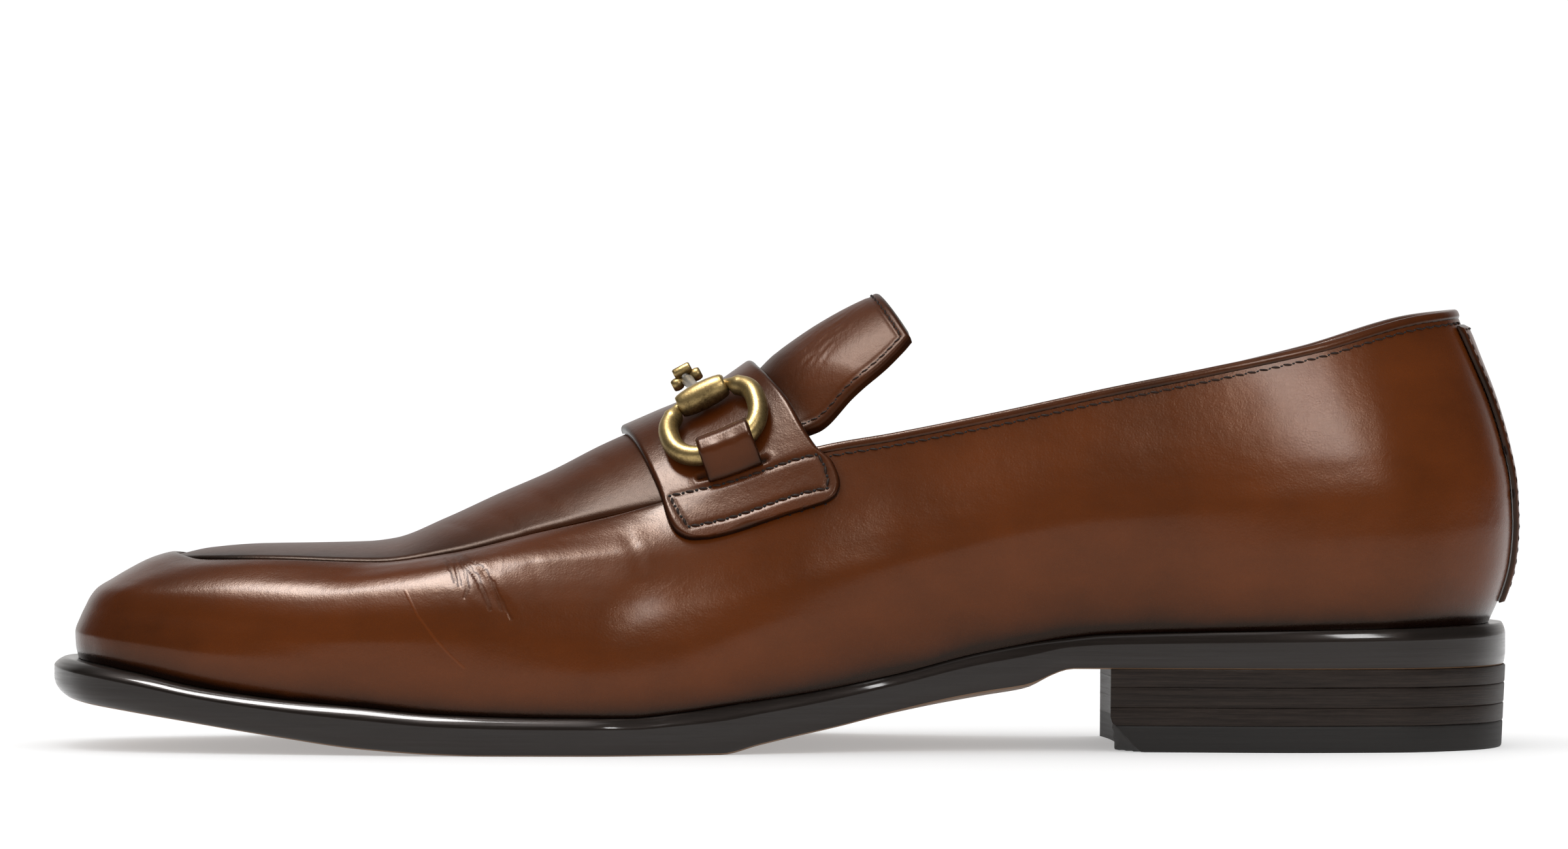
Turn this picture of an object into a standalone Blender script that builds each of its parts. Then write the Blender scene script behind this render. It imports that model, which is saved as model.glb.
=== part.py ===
"""Leather bit loafer, right shoe: a set of separately named solids.

The shoe stands on its sole with the toe towards -X and the inner (medial) side towards -Y.
Every form is worked out from the sizes below. The tables give each section as shares of them.
Lengths are in metres.
"""

import math

import bpy
import bmesh
import numpy as np
from mathutils import Matrix, Vector

for old in list(bpy.data.objects):
    bpy.data.objects.remove(old, do_unlink=True)

MM = 0.001

# Sizes of the last
SOLE_LENGTH = 0.300
BALL_WIDTH = 0.108
SEAT_HEIGHT = 0.0257
BACK_HEIGHT = 0.0903

# Thicknesses
UPPER_WALL = 1.8 * MM
MIDSOLE_THICKNESS = 3.0 * MM
INSOLE_THICKNESS = 2.4 * MM
TONGUE_THICKNESS = 2.4 * MM
STRAP_THICKNESS = 1.7 * MM
BACK_STRAP_THICKNESS = 1.1 * MM
KEEPER_THICKNESS = 1.2 * MM
STACK_GAP = 0.05 * MM
OVERLAY_GAP = 0.35 * MM
SEAT_GAP = 0.14 * MM

# Sole details
SOLE_BELLY = 1.9 * MM
WELT_AT_TOE = 5.0 * MM
WELT_AT_SEAT = 3.0 * MM
HEEL_BREAST_STATION = 0.725
BREAST_HOLLOW = 2.5 * MM
CORNER_CUT = 6.0 * MM

# Upper details
SEAM_STEP = 0.9 * MM
BINDING_HEIGHT = 2.4 * MM
BINDING_WIDTH = 2.4 * MM
THROAT_SWEEP = 19.0 * MM
APRON_ARCH = 2.2

# Bit
INSTEP_SLOPE = math.radians(28.0)
WIRE_RADIUS = 2.1 * MM
PIN_RADIUS = 1.2 * MM
BIT_CENTRE_X = -13.8 * MM
RING_HALF_LENGTH = 10.2 * MM
RING_DROP = 15.9 * MM
BARREL_LENGTH = 11.5 * MM
BARREL_RADIUS = 2.9 * MM
BARREL_BORE = 1.4 * MM
BARREL_OFFSET = 0.51

# How finely the forms are divided
SIDE_COLUMNS = 40
WALL_ROWS = 10
APRON_CELLS = 10
SOLE_COLUMNS = 42
SOLE_CELLS = 4

# Outsole in plan: station from toe to heel as a share of SOLE_LENGTH,
# half widths as shares of BALL_WIDTH
PLAN_COLUMNS = ("station", "medial", "lateral")
OUTSOLE_PLAN = (
    (0.000, 0.000, 0.000),
    (0.010, 0.160, 0.160),
    (0.025, 0.232, 0.232),
    (0.055, 0.290, 0.296),
    (0.100, 0.338, 0.352),
    (0.200, 0.405, 0.442),
    (0.300, 0.449, 0.500),
    (0.370, 0.454, 0.528),
    (0.420, 0.426, 0.532),
    (0.500, 0.352, 0.500),
    (0.580, 0.287, 0.435),
    (0.660, 0.269, 0.380),
    (0.750, 0.287, 0.347),
    (0.850, 0.315, 0.329),
    (0.920, 0.301, 0.310),
    (0.970, 0.222, 0.227),
    (1.000, 0.000, 0.000),
)

# Margin of the welt outside the upper, in shares of WELT_AT_TOE
MARGIN_COLUMNS = ("station", "medial", "lateral")
WELT_MARGIN = (
    (0.00, 0.00, 0.00),
    (0.02, 0.70, 0.70),
    (0.08, 0.95, 0.95),
    (0.30, 0.70, 0.80),
    (0.45, 0.45, 0.75),
    (0.60, 0.10, 0.50),
    (0.75, 0.35, 0.50),
    (0.90, 0.50, 0.50),
    (0.97, 0.45, 0.45),
    (1.00, 0.00, 0.00),
)

# Heights of the sole as shares of SEAT_HEIGHT
FEATHER_COLUMNS = ("station", "height")
FEATHER_HEIGHT = (
    (0.000, 0.728),
    (0.017, 0.712),
    (0.060, 0.628),
    (0.108, 0.513),
    (0.163, 0.429),
    (0.217, 0.374),
    (0.270, 0.321),
    (0.343, 0.298),
    (0.397, 0.296),
    (0.433, 0.334),
    (0.470, 0.394),
    (0.521, 0.481),
    (0.576, 0.610),
    (0.638, 0.790),
    (0.693, 0.898),
    (0.721, 0.930),
    (0.777, 0.949),
    (0.907, 0.977),
    (0.989, 0.996),
    (1.000, 1.000),
)
UNDER_HEIGHT = (
    (0.000, 0.456),
    (0.018, 0.392),
    (0.054, 0.325),
    (0.090, 0.262),
    (0.126, 0.196),
    (0.162, 0.133),
    (0.214, 0.050),
    (0.267, 0.009),
    (0.300, 0.000),
    (0.460, 0.000),
    (0.486, 0.071),
    (0.505, 0.122),
    (0.541, 0.213),
    (0.577, 0.319),
    (0.613, 0.417),
    (0.640, 0.475),
    (0.667, 0.525),
    (0.700, 0.660),
    (1.000, 0.660),
)

# Rounding of the sole edge and belly of the waist, as shares of their own sizes
EDGE_COLUMNS = ("station", "roundness", "belly")
SOLE_EDGE = (
    (0.00, 1.00, 0.00),
    (0.30, 0.70, 0.00),
    (0.47, 0.60, 0.00),
    (0.55, 0.35, 0.55),
    (0.63, 0.25, 1.00),
    (0.67, 0.25, 0.90),
    (0.70, 0.25, 0.00),
    (1.00, 0.25, 0.00),
)

# Top line of the wall: the apron seam as far as the throat, then the collar
TOPLINE_PLAN = (
    (0.083, 0.000, 0.000),
    (0.100, 0.125, 0.125),
    (0.133, 0.187, 0.190),
    (0.183, 0.231, 0.245),
    (0.250, 0.259, 0.287),
    (0.317, 0.269, 0.306),
    (0.383, 0.273, 0.310),
    (0.467, 0.278, 0.306),
    (0.527, 0.278, 0.306),
    (0.633, 0.282, 0.296),
    (0.767, 0.273, 0.278),
    (0.867, 0.236, 0.236),
    (0.933, 0.160, 0.160),
    (0.953, 0.105, 0.105),
    (0.965, 0.000, 0.000),
)

# Heights of the top line and of the ridge, as shares of BACK_HEIGHT
TOPLINE_COLUMNS = ("station", "medial", "lateral")
TOPLINE_HEIGHT = (
    (0.083, 0.434, 0.434),
    (0.153, 0.439, 0.433),
    (0.225, 0.434, 0.426),
    (0.277, 0.455, 0.439),
    (0.338, 0.504, 0.481),
    (0.420, 0.567, 0.543),
    (0.467, 0.615, 0.587),
    (0.527, 0.694, 0.664),
    (0.577, 0.724, 0.696),
    (0.649, 0.772, 0.748),
    (0.721, 0.824, 0.802),
    (0.793, 0.872, 0.856),
    (0.865, 0.923, 0.915),
    (0.937, 0.988, 0.987),
    (0.965, 1.000, 1.000),
)
RIDGE_COLUMNS = ("station", "height")
RIDGE_HEIGHT = (
    (0.083, 0.434),
    (0.108, 0.452),
    (0.143, 0.461),
    (0.183, 0.463),
    (0.217, 0.466),
    (0.234, 0.473),
    (0.270, 0.520),
    (0.306, 0.575),
    (0.342, 0.627),
    (0.378, 0.688),
    (0.414, 0.741),
    (0.450, 0.793),
    (0.483, 0.866),
    (0.525, 0.963),
    (0.548, 1.006),
    (0.570, 1.039),
    (0.593, 1.068),
)

# Section of the wall from feather to top line, one row per level.
# Rise and inset are shares of the way to the top line, bulge is a share of WALL_BULGE.
SECTION_COLUMNS = ("rise", "inset", "bulge")
TOE_SECTION = (
    (0.00, 0.00, 0.00),
    (0.12, 0.00, 0.80),
    (0.25, 0.00, 1.00),
    (0.40, 0.04, 0.60),
    (0.54, 0.09, 0.00),
    (0.67, 0.18, 0.00),
    (0.78, 0.36, 0.00),
    (0.90, 0.65, 0.00),
    (1.00, 1.00, 0.00),
)
VAMP_SECTION = (
    (0.00, 0.00, 0.00),
    (0.12, 0.00, 0.50),
    (0.27, 0.00, 0.90),
    (0.42, 0.00, 1.00),
    (0.57, 0.04, 0.85),
    (0.71, 0.14, 0.55),
    (0.84, 0.34, 0.20),
    (0.93, 0.64, 0.00),
    (1.00, 1.00, 0.00),
)
QUARTER_SECTION = (
    (0.00, 0.00, 0.00),
    (0.10, 0.03, 0.45),
    (0.20, 0.09, 0.76),
    (0.33, 0.19, 0.95),
    (0.45, 0.30, 1.00),
    (0.57, 0.43, 0.90),
    (0.70, 0.585, 0.70),
    (0.85, 0.784, 0.35),
    (1.00, 1.00, 0.00),
)
SECTION_STATIONS = (0.0, 0.22, 0.46, 1.0)
SECTIONS = (TOE_SECTION, VAMP_SECTION, QUARTER_SECTION, QUARTER_SECTION)

# How far the wall bulges past the feather line, as shares of BALL_WIDTH
BULGE_COLUMNS = ("station", "medial", "lateral")
WALL_BULGE = (
    (0.00, 0.006, 0.006),
    (0.10, 0.014, 0.014),
    (0.25, 0.020, 0.022),
    (0.42, 0.036, 0.026),
    (0.55, 0.070, 0.036),
    (0.70, 0.064, 0.044),
    (0.85, 0.050, 0.048),
    (1.00, 0.061, 0.061),
)

# Strap over the instep: level 0 to 1 up the wall, then 1 to 2 from seam to ridge;
# front and rear edges as stations of SOLE_LENGTH
STRAP_COLUMNS = ("level", "front", "rear")
STRAP_EDGES = (
    (0.790, 0.452, 0.516),
    (0.800, 0.440, 0.532),
    (0.820, 0.433, 0.539),
    (0.850, 0.428, 0.541),
    (0.920, 0.423, 0.537),
    (1.000, 0.420, 0.524),
    (1.250, 0.410, 0.507),
    (1.500, 0.402, 0.494),
    (1.750, 0.396, 0.486),
    (2.000, 0.392, 0.483),
)

# Tongue: ridge station, reach of its edge behind the ridge and half width,
# as shares of SOLE_LENGTH and BALL_WIDTH
TONGUE_COLUMNS = ("station", "reach", "half_width")
TONGUE_SHAPE = (
    (0.380, 0.0000, 0.205),
    (0.420, 0.0120, 0.215),
    (0.460, 0.0270, 0.240),
    (0.494, 0.0355, 0.260),
    (0.520, 0.0310, 0.234),
    (0.545, 0.0265, 0.210),
    (0.561, 0.0235, 0.190),
    (0.5685, 0.0210, 0.181),
)

# Half width of the back strap up the back, as shares of BALL_WIDTH
BACK_STRAP_COLUMNS = ("level", "half_width")
BACK_STRAP_WIDTH = (
    (0.08, 0.050),
    (0.35, 0.058),
    (0.70, 0.070),
    (0.955, 0.080),
)


# Curves and tables

def smooth(x, xs, ys):
    """Monotone cubic curve through the points (xs, ys), read at x."""
    x, xs, ys = (np.asarray(v, dtype=float) for v in (x, xs, ys))
    width = np.diff(xs)
    slope = np.diff(ys) / width
    before, after = slope[:-1], slope[1:]
    weight_a = 2 * width[1:] + width[:-1]
    weight_b = width[1:] + 2 * width[:-1]
    turning = before * after <= 0
    safe_before = np.where(turning, 1.0, before)
    safe_after = np.where(turning, 1.0, after)
    inner = (weight_a + weight_b) / (weight_a / safe_before + weight_b / safe_after)
    inner = np.where(turning, 0.0, inner)
    tangent = np.concatenate([slope[:1], inner, slope[-1:]])
    x = np.clip(x, xs[0], xs[-1])
    i = np.clip(np.searchsorted(xs, x, side="right") - 1, 0, len(width) - 1)
    t = (x - xs[i]) / width[i]
    start = ys[i] * (1 + 2 * t) * (1 - t) ** 2 + width[i] * tangent[i] * t * (1 - t) ** 2
    end = ys[i + 1] * t * t * (3 - 2 * t) + width[i] * tangent[i + 1] * t * t * (t - 1)
    return start + end


def read(table, x, column=1):
    """Value of one column of a table at x, where x runs along its first column."""
    rows = np.array(table)
    return smooth(x, rows[:, 0], rows[:, column])


def station(x):
    """Share of the sole's length at x."""
    return x / SOLE_LENGTH + 0.5


def along(share):
    """X of a share of the sole's length."""
    return (share - 0.5) * SOLE_LENGTH


def angle_share(share):
    """Share of a half turn whose cosine falls at this share of a length."""
    return np.arccos(np.clip(1 - 2 * np.asarray(share), -1, 1)) / math.pi


def cosine_share(turn):
    """Share of a length reached at this share of a half turn."""
    return (1 - np.cos(math.pi * np.asarray(turn))) / 2


def column_for(side):
    return 1 if side < 0 else 2


# Rings: closed outlines read by turn, 0 at the toe and 1 at the heel, on side -1 or +1

def outsole_ring(turn, side):
    rows = np.array(OUTSOLE_PLAN)
    half = smooth(turn, angle_share(rows[:, 0]), rows[:, column_for(side)]) * BALL_WIDTH
    return along(cosine_share(turn)), side * half


def inset_ring(turn, side, front, rear, amount):
    """Outline inside the outsole's: front, rear and sides each drawn in."""
    x, y = outsole_ring(turn, side)
    share = cosine_share(turn)
    ends = np.minimum(1.0, np.sin(math.pi * np.asarray(turn)) / 0.35)
    pulled = x + front * (1 - share) ** 6 - rear * share ** 6
    return pulled, y - side * np.asarray(amount) * ends


def feather_ring(turn, side):
    """Where the upper meets the welt."""
    margin = read(WELT_MARGIN, cosine_share(turn), column_for(side)) * WELT_AT_TOE
    x, y = outsole_ring(turn, side)
    share = cosine_share(turn)
    x = x + WELT_AT_TOE * (1 - share) ** 6 - (WELT_AT_SEAT + 0.5 * MM) * share ** 6
    return x, y - side * margin


def topline_ring(turn, side):
    rows = np.array(TOPLINE_PLAN)
    first, last = rows[0, 0], rows[-1, 0]
    own_turn = angle_share((rows[:, 0] - first) / (last - first))
    half = smooth(turn, own_turn, rows[:, column_for(side)]) * BALL_WIDTH
    return along(first + (last - first) * cosine_share(turn)), side * half


def feather_height(x):
    return read(FEATHER_HEIGHT, station(x)) * SEAT_HEIGHT


def under_height(x):
    return read(UNDER_HEIGHT, station(x)) * SEAT_HEIGHT


def topline_height(x, side):
    return read(TOPLINE_HEIGHT, station(x), column_for(side)) * BACK_HEIGHT


def ridge_height(x):
    return read(RIDGE_HEIGHT, station(x)) * BACK_HEIGHT


# Surfaces of the upper

def wall(turn, level, side):
    """Outer face of the side wall: turn round the shoe, level 0 at the feather, 1 at the top."""
    turn, level = np.broadcast_arrays(np.asarray(turn, float), np.asarray(level, float))
    share = cosine_share(turn)
    foot_x, foot_y = feather_ring(turn, side)
    top_x, top_y = topline_ring(turn, side)
    foot_z = feather_height(foot_x) + SEAT_GAP
    top_z = topline_height(top_x, side)
    nudge = 1e-4
    ahead = np.stack(feather_ring(np.minimum(turn + nudge, 1), side))
    behind = np.stack(feather_ring(np.maximum(turn - nudge, 0), side))
    run = ahead - behind
    length = np.maximum(np.hypot(run[0], run[1]), 1e-12)
    out_x, out_y = -side * run[1] / length, side * run[0] / length
    at_ends = (turn <= 0) | (turn >= 1)
    out_x = np.where(at_ends, np.where(turn <= 0, -1.0, 1.0), out_x)
    out_y = np.where(at_ends, 0.0, out_y)
    levels = np.linspace(0, 1, len(TOE_SECTION))
    values = []
    for column in range(3):
        rows = [smooth(level, levels, np.array(section)[:, column]) for section in SECTIONS]
        blend = np.zeros_like(share)
        for i in range(len(SECTIONS) - 1):
            low, high = SECTION_STATIONS[i], SECTION_STATIONS[i + 1]
            t = np.clip((share - low) / (high - low), 0, 1)
            t = t * t * (3 - 2 * t)
            inside = (share >= low) & ((share < high) | (high == 1.0))
            blend = np.where(inside, rows[i] * (1 - t) + rows[i + 1] * t, blend)
        values.append(blend)
    rise, inset, bulge = values
    bulge = bulge * read(WALL_BULGE, share, column_for(side)) * BALL_WIDTH
    x = foot_x + (top_x - foot_x) * inset + out_x * bulge
    y = foot_y + (top_y - foot_y) * inset + out_y * bulge
    z = foot_z + (top_z - foot_z) * rise
    return np.stack([x, y, z], axis=-1)


FINE_TURN = np.linspace(0, 1, 1601)


def topline_half_width(x, side):
    ring_x, ring_y = topline_ring(FINE_TURN, side)
    return np.interp(x, ring_x, np.abs(ring_y))


def instep(x, across):
    """Outer face over the foot: across runs from -1 at the medial top line to +1."""
    x, across = np.broadcast_arrays(np.asarray(x, float), np.asarray(across, float))
    medial = across < 0
    half = np.where(medial, topline_half_width(x, -1), topline_half_width(x, 1))
    edge = np.where(medial, topline_height(x, -1), topline_height(x, 1))
    ridge = ridge_height(x)
    z = ridge - (ridge - edge) * np.abs(across) ** APRON_ARCH
    return np.stack([x, across * half, z], axis=-1)


def normals(surface, a, b, towards, nudge=2e-4):
    """Unit normals of surface(a, b), turned to the side of the point field towards."""
    along_a = surface(a + nudge, b) - surface(a - nudge, b)
    along_b = surface(a, b + nudge) - surface(a, b - nudge)
    normal = np.cross(along_a, along_b)
    size = np.linalg.norm(normal, axis=-1, keepdims=True)
    normal = normal / np.maximum(size, 1e-15)
    facing = np.sum(normal * towards, axis=-1, keepdims=True)
    return np.where(facing < 0, -normal, normal)


def instep_normals(x, across):
    x, across = np.broadcast_arrays(np.asarray(x, float), np.asarray(across, float))
    inner = np.clip(across, -0.985, 0.985)
    return normals(instep, x, inner, np.array([0.0, 0.0, 1.0]), nudge=1e-4)


def grid_normals(points, outward, wrap=False):
    """Unit normals of a grid of points by central differences."""
    if wrap:
        along_b = np.roll(points, -1, axis=1) - np.roll(points, 1, axis=1)
    else:
        along_b = np.gradient(points, axis=1)
    normal = np.cross(np.gradient(points, axis=0), along_b)
    size = np.linalg.norm(normal, axis=-1, keepdims=True)
    normal = normal / np.maximum(size, 1e-15)
    facing = np.sum(normal * outward, axis=-1, keepdims=True)
    return np.where(facing < 0, -normal, normal)


# Meshes

COLLECTION = bpy.data.collections.new("leather_bit_loafer")
bpy.context.scene.collection.children.link(COLLECTION)
CUTTERS = bpy.data.collections.new("leather_bit_loafer_cutters")
bpy.context.scene.collection.children.link(CUTTERS)


def principled(name, colour, roughness, metallic=0.0, coat=0.0):
    material = bpy.data.materials.new(name)
    material.use_nodes = True
    shader = material.node_tree.nodes["Principled BSDF"]
    shader.inputs["Base Color"].default_value = (*colour, 1.0)
    shader.inputs["Roughness"].default_value = roughness
    shader.inputs["Metallic"].default_value = metallic
    shader.inputs["Coat Weight"].default_value = coat
    return material


def quads(first, rows, columns, wrap=False):
    """Faces of a grid whose points are numbered from first, row by row."""
    faces = []
    span = columns if wrap else columns - 1
    for i in range(rows - 1):
        for j in range(span):
            k = (j + 1) % columns
            a, b = first + i * columns + j, first + i * columns + k
            faces.append((a, b, b + columns, a + columns))
    return faces


def solid(name, grids, colour_slot, weld=0.01 * MM):
    """One closed object from grids of points that share their borders.

    Each grid is (points[rows, columns, 3], wraps round or not)."""
    points, faces = [], []
    count = 0
    for grid, wrap in grids:
        rows, columns = grid.shape[:2]
        points.append(grid.reshape(-1, 3))
        faces += quads(count, rows, columns, wrap)
        count += rows * columns
    mesh = bpy.data.meshes.new(name)
    mesh.from_pydata(np.concatenate(points).tolist(), [], faces)
    shape = bmesh.new()
    shape.from_mesh(mesh)
    bmesh.ops.remove_doubles(shape, verts=shape.verts, dist=weld)
    bmesh.ops.dissolve_degenerate(shape, edges=shape.edges, dist=weld)
    bmesh.ops.recalc_face_normals(shape, faces=shape.faces)
    if shape.calc_volume(signed=True) < 0:
        bmesh.ops.reverse_faces(shape, faces=shape.faces)
    shape.to_mesh(mesh)
    shape.free()
    piece = bpy.data.objects.new(name, mesh)
    piece.data.materials.append(colour_slot)
    COLLECTION.objects.link(piece)
    return piece


def border(grid):
    """Border points of an open grid, once round."""
    return np.concatenate([grid[0, :-1], grid[:-1, -1], grid[-1, :0:-1], grid[:0:-1, 0]])


def slab(name, lower, upper_grid, colour_slot, between=()):
    """Solid between two open grids, with optional loops of border points in between."""
    loops = np.stack([border(lower), *between, border(upper_grid)])
    return solid(name, [(lower, False), (loops, True), (upper_grid, False)], colour_slot)


def cross_rows(ring_left, ring_right, cells):
    """Grid of rows from one side of a ring to the other."""
    t = np.linspace(0, 1, cells + 1)[None, :, None]
    return ring_left[:, None, :] * (1 - t) + ring_right[:, None, :] * t


def ring_points(x, y, z):
    return np.stack([x, y, z], axis=-1)


def even_turns(count, ring=feather_ring):
    """Turns from toe to heel that space the points of a ring evenly along it."""
    x, y = ring(FINE_TURN, 1)
    gone = np.concatenate([[0], np.cumsum(np.hypot(np.diff(x), np.diff(y)))])
    return np.interp(np.linspace(0, gone[-1], count), gone, FINE_TURN)


LEATHER = principled("upper_leather", (0.165, 0.050, 0.018), 0.32, coat=0.35)
STRAP_LEATHER = principled("strap_leather", (0.120, 0.040, 0.018), 0.34, coat=0.3)
LINING = principled("insole_leather", (0.42, 0.24, 0.11), 0.6)
EDGE = principled("blackened_sole_edge", (0.022, 0.019, 0.018), 0.35, coat=0.2)
STACK = principled("stacked_leather", (0.030, 0.022, 0.019), 0.5)
RUBBER = principled("black_rubber", (0.016, 0.015, 0.015), 0.6)
BRASS = principled("antique_brass", (0.42, 0.28, 0.08), 0.35, metallic=1.0)


# Sole

def sole_grid(turns, margin, height, belly=0.0, cells=1):
    """Rows across the sole, drawn in by margin, at height(x), bowed down by belly."""
    left_x, left_y = inset_ring(turns, -1, margin, margin, margin)
    right_x, right_y = inset_ring(turns, 1, margin, margin, margin)
    left = ring_points(left_x, left_y, height(left_x))
    right = ring_points(right_x, right_y, height(right_x))
    grid = cross_rows(left, right, cells)
    arc = 1 - np.linspace(-1, 1, cells + 1) ** 2
    drop = read(SOLE_EDGE, station(left_x), 2)[:, None] * arc[None, :] * belly
    grid[..., 2] -= drop
    return grid


def edge_roundness(turns):
    return read(SOLE_EDGE, cosine_share(turns), 1)


def outsole_top(x):
    return feather_height(x) - MIDSOLE_THICKNESS - STACK_GAP


SOLE_TURNS = even_turns(SOLE_COLUMNS, outsole_ring)
LOWER_EDGE_INSET = 2.6 * MM
LOWER_EDGE_STEPS = ((0.7, 0.12), (0.3, 0.38), (0.08, 0.66))


def make_outsole():
    round_off = edge_roundness(SOLE_TURNS) * LOWER_EDGE_INSET
    lower = sole_grid(SOLE_TURNS, round_off, under_height, SOLE_BELLY, SOLE_CELLS)
    upper_grid = sole_grid(SOLE_TURNS, 0.0 * SOLE_TURNS, outsole_top, cells=SOLE_CELLS)
    loops = []
    for inset, rise in LOWER_EDGE_STEPS:
        def height(x, rise=rise):
            return under_height(x) * (1 - rise) + outsole_top(x) * rise
        loops.append(border(sole_grid(SOLE_TURNS, round_off * inset, height, cells=SOLE_CELLS)))
    return slab("outsole", lower, upper_grid, EDGE, loops)


UPPER_EDGE_INSET = 1.6 * MM
UPPER_EDGE_STEPS = ((0.05, 0.35), (0.25, 0.68), (0.6, 0.9))


def make_midsole():
    round_off = (0.25 + 0.75 * edge_roundness(SOLE_TURNS)) * UPPER_EDGE_INSET
    foot = feather_height
    lower = sole_grid(SOLE_TURNS, 0.0 * SOLE_TURNS, lambda x: foot(x) - MIDSOLE_THICKNESS)
    upper_grid = sole_grid(SOLE_TURNS, round_off, foot)
    loops = []
    for inset, rise in UPPER_EDGE_STEPS:
        def height(x, rise=rise):
            return foot(x) - MIDSOLE_THICKNESS * (1 - rise)
        loops.append(border(sole_grid(SOLE_TURNS, round_off * inset, height)))
    return slab("midsole_welt", lower, upper_grid, EDGE, loops)


INSOLE_MARGIN = UPPER_WALL + 0.5 * MM


def make_insole():
    turns = even_turns(SOLE_COLUMNS)
    share = cosine_share(turns)
    sides = []
    for side in (-1, 1):
        x, y = feather_ring(turns, side)
        ends = np.minimum(1.0, np.sin(math.pi * turns) / 0.35)
        x = x + INSOLE_MARGIN * ((1 - share) ** 6 - share ** 6)
        sides.append(ring_points(x, y - side * INSOLE_MARGIN * ends, feather_height(x)))
    lower = cross_rows(sides[0], sides[1], 1)
    lower[..., 2] += SEAT_GAP
    upper_grid = lower + np.array([0, 0, INSOLE_THICKNESS])
    return slab("insole", lower, upper_grid, LINING)


LIFT_TOP = 0.660
LIFT_LEVELS = (1.0, 0.782, 0.538, 0.320, 0.0)
LIFT_TAPER = 0.8 * MM
LIFT_NAMES = ("heel_lift_1", "heel_lift_2", "heel_lift_3", "heel_top_piece")


def heel_grid(turns, inset, z):
    """Rows across the heel from the hollowed breast to the back."""
    zero = 0.0 * turns
    left_x, left_y = inset_ring(turns, -1, zero, zero + inset, zero + inset)
    right_x, right_y = inset_ring(turns, 1, zero, zero + inset, zero + inset)
    flat = zero + z
    left, right = ring_points(left_x, left_y, flat), ring_points(right_x, right_y, flat)
    grid = cross_rows(left, right, SOLE_CELLS)
    arc = 1 - np.linspace(-1, 1, SOLE_CELLS + 1) ** 2
    back = (left_x[-1] - left_x) / (left_x[-1] - left_x[0])
    grid[..., 0] += BREAST_HOLLOW * arc[None, :] * back[:, None] ** 2
    return grid


def make_heel():
    all_turns = even_turns(4 * SOLE_COLUMNS, outsole_ring)
    start = angle_share(HEEL_BREAST_STATION)
    kept = all_turns[all_turns > start]
    turns = np.unique(np.concatenate([[start], kept[3::4], [1.0]]))
    top = LIFT_TOP * SEAT_HEIGHT
    pieces = []
    for i, name in enumerate(LIFT_NAMES):
        high, low = LIFT_LEVELS[i] * top - STACK_GAP, LIFT_LEVELS[i + 1] * top
        taper = [LIFT_TAPER * (1 - level) for level in (LIFT_LEVELS[i], LIFT_LEVELS[i + 1])]
        material = RUBBER if name == "heel_top_piece" else STACK
        upper_grid = heel_grid(turns, taper[0], high)
        lower = heel_grid(turns, taper[1], low)
        pieces.append(slab(name, lower, upper_grid, material))
    return pieces


def cut_heel_corner(top_piece):
    """Cuts the inner front corner of the top piece on the slant."""
    x, y = outsole_ring(angle_share(HEEL_BREAST_STATION), -1)
    size = 4 * CORNER_CUT
    bpy.ops.mesh.primitive_cube_add(size=1.0)
    cutter = bpy.context.object
    cutter.name = "heel_corner_cutter"
    for owner in list(cutter.users_collection):
        owner.objects.unlink(cutter)
    CUTTERS.objects.link(cutter)
    slope = Vector((-1.0, -0.55, -0.95)).normalized()
    turn = slope.to_track_quat("Z", "Y").to_matrix().to_4x4()
    on_plane = Vector((float(x) + CORNER_CUT, float(y) + LIFT_TAPER, 0.0))
    place = Matrix.Translation(on_plane + slope * size / 2)
    cutter.data.transform(place @ turn @ Matrix.Scale(size, 4))
    cutter.display_type = "WIRE"
    cutter.hide_render = True
    cutter.hide_viewport = True
    boolean = top_piece.modifiers.new("corner cut", "BOOLEAN")
    boolean.operation = "DIFFERENCE"
    boolean.solver = "EXACT"
    boolean.object = cutter


# Upper

UPPER_TURNS = even_turns(SIDE_COLUMNS)
THROAT_X = 6.0 * MM
THROAT_FADE = 56.0 * MM
SEAM_FADE_START = -40.0 * MM
SEAM_FADE_END = -14.0 * MM


def fade(x, start, end):
    t = np.clip((x - start) / (end - start), 0, 1)
    return t * t * (3 - 2 * t)


def throat_turns():
    """Turns of the wall's columns, with one of them exactly at the throat corner."""
    ring_x, _ = topline_ring(FINE_TURN, 1)
    corner = float(np.interp(THROAT_X, ring_x, FINE_TURN))
    turns = UPPER_TURNS.copy()
    nearest = int(np.argmin(np.abs(turns - corner)))
    turns[nearest] = corner
    return turns, nearest


def apron_grid(turns, count, cells):
    """Rows over the foot from the front of the apron to the swept throat edge."""
    top_x, _ = topline_ring(turns[:count + 1], 1)
    across = np.linspace(-1, 1, cells + 1)
    across = np.sign(across) * np.abs(across) ** 0.9
    sweep = THROAT_SWEEP * fade(top_x, THROAT_X - THROAT_FADE, THROAT_X)
    x = top_x[:, None] - sweep[:, None] * (1 - across[None, :] ** 2)
    return instep(x, np.broadcast_to(across, x.shape))


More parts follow.
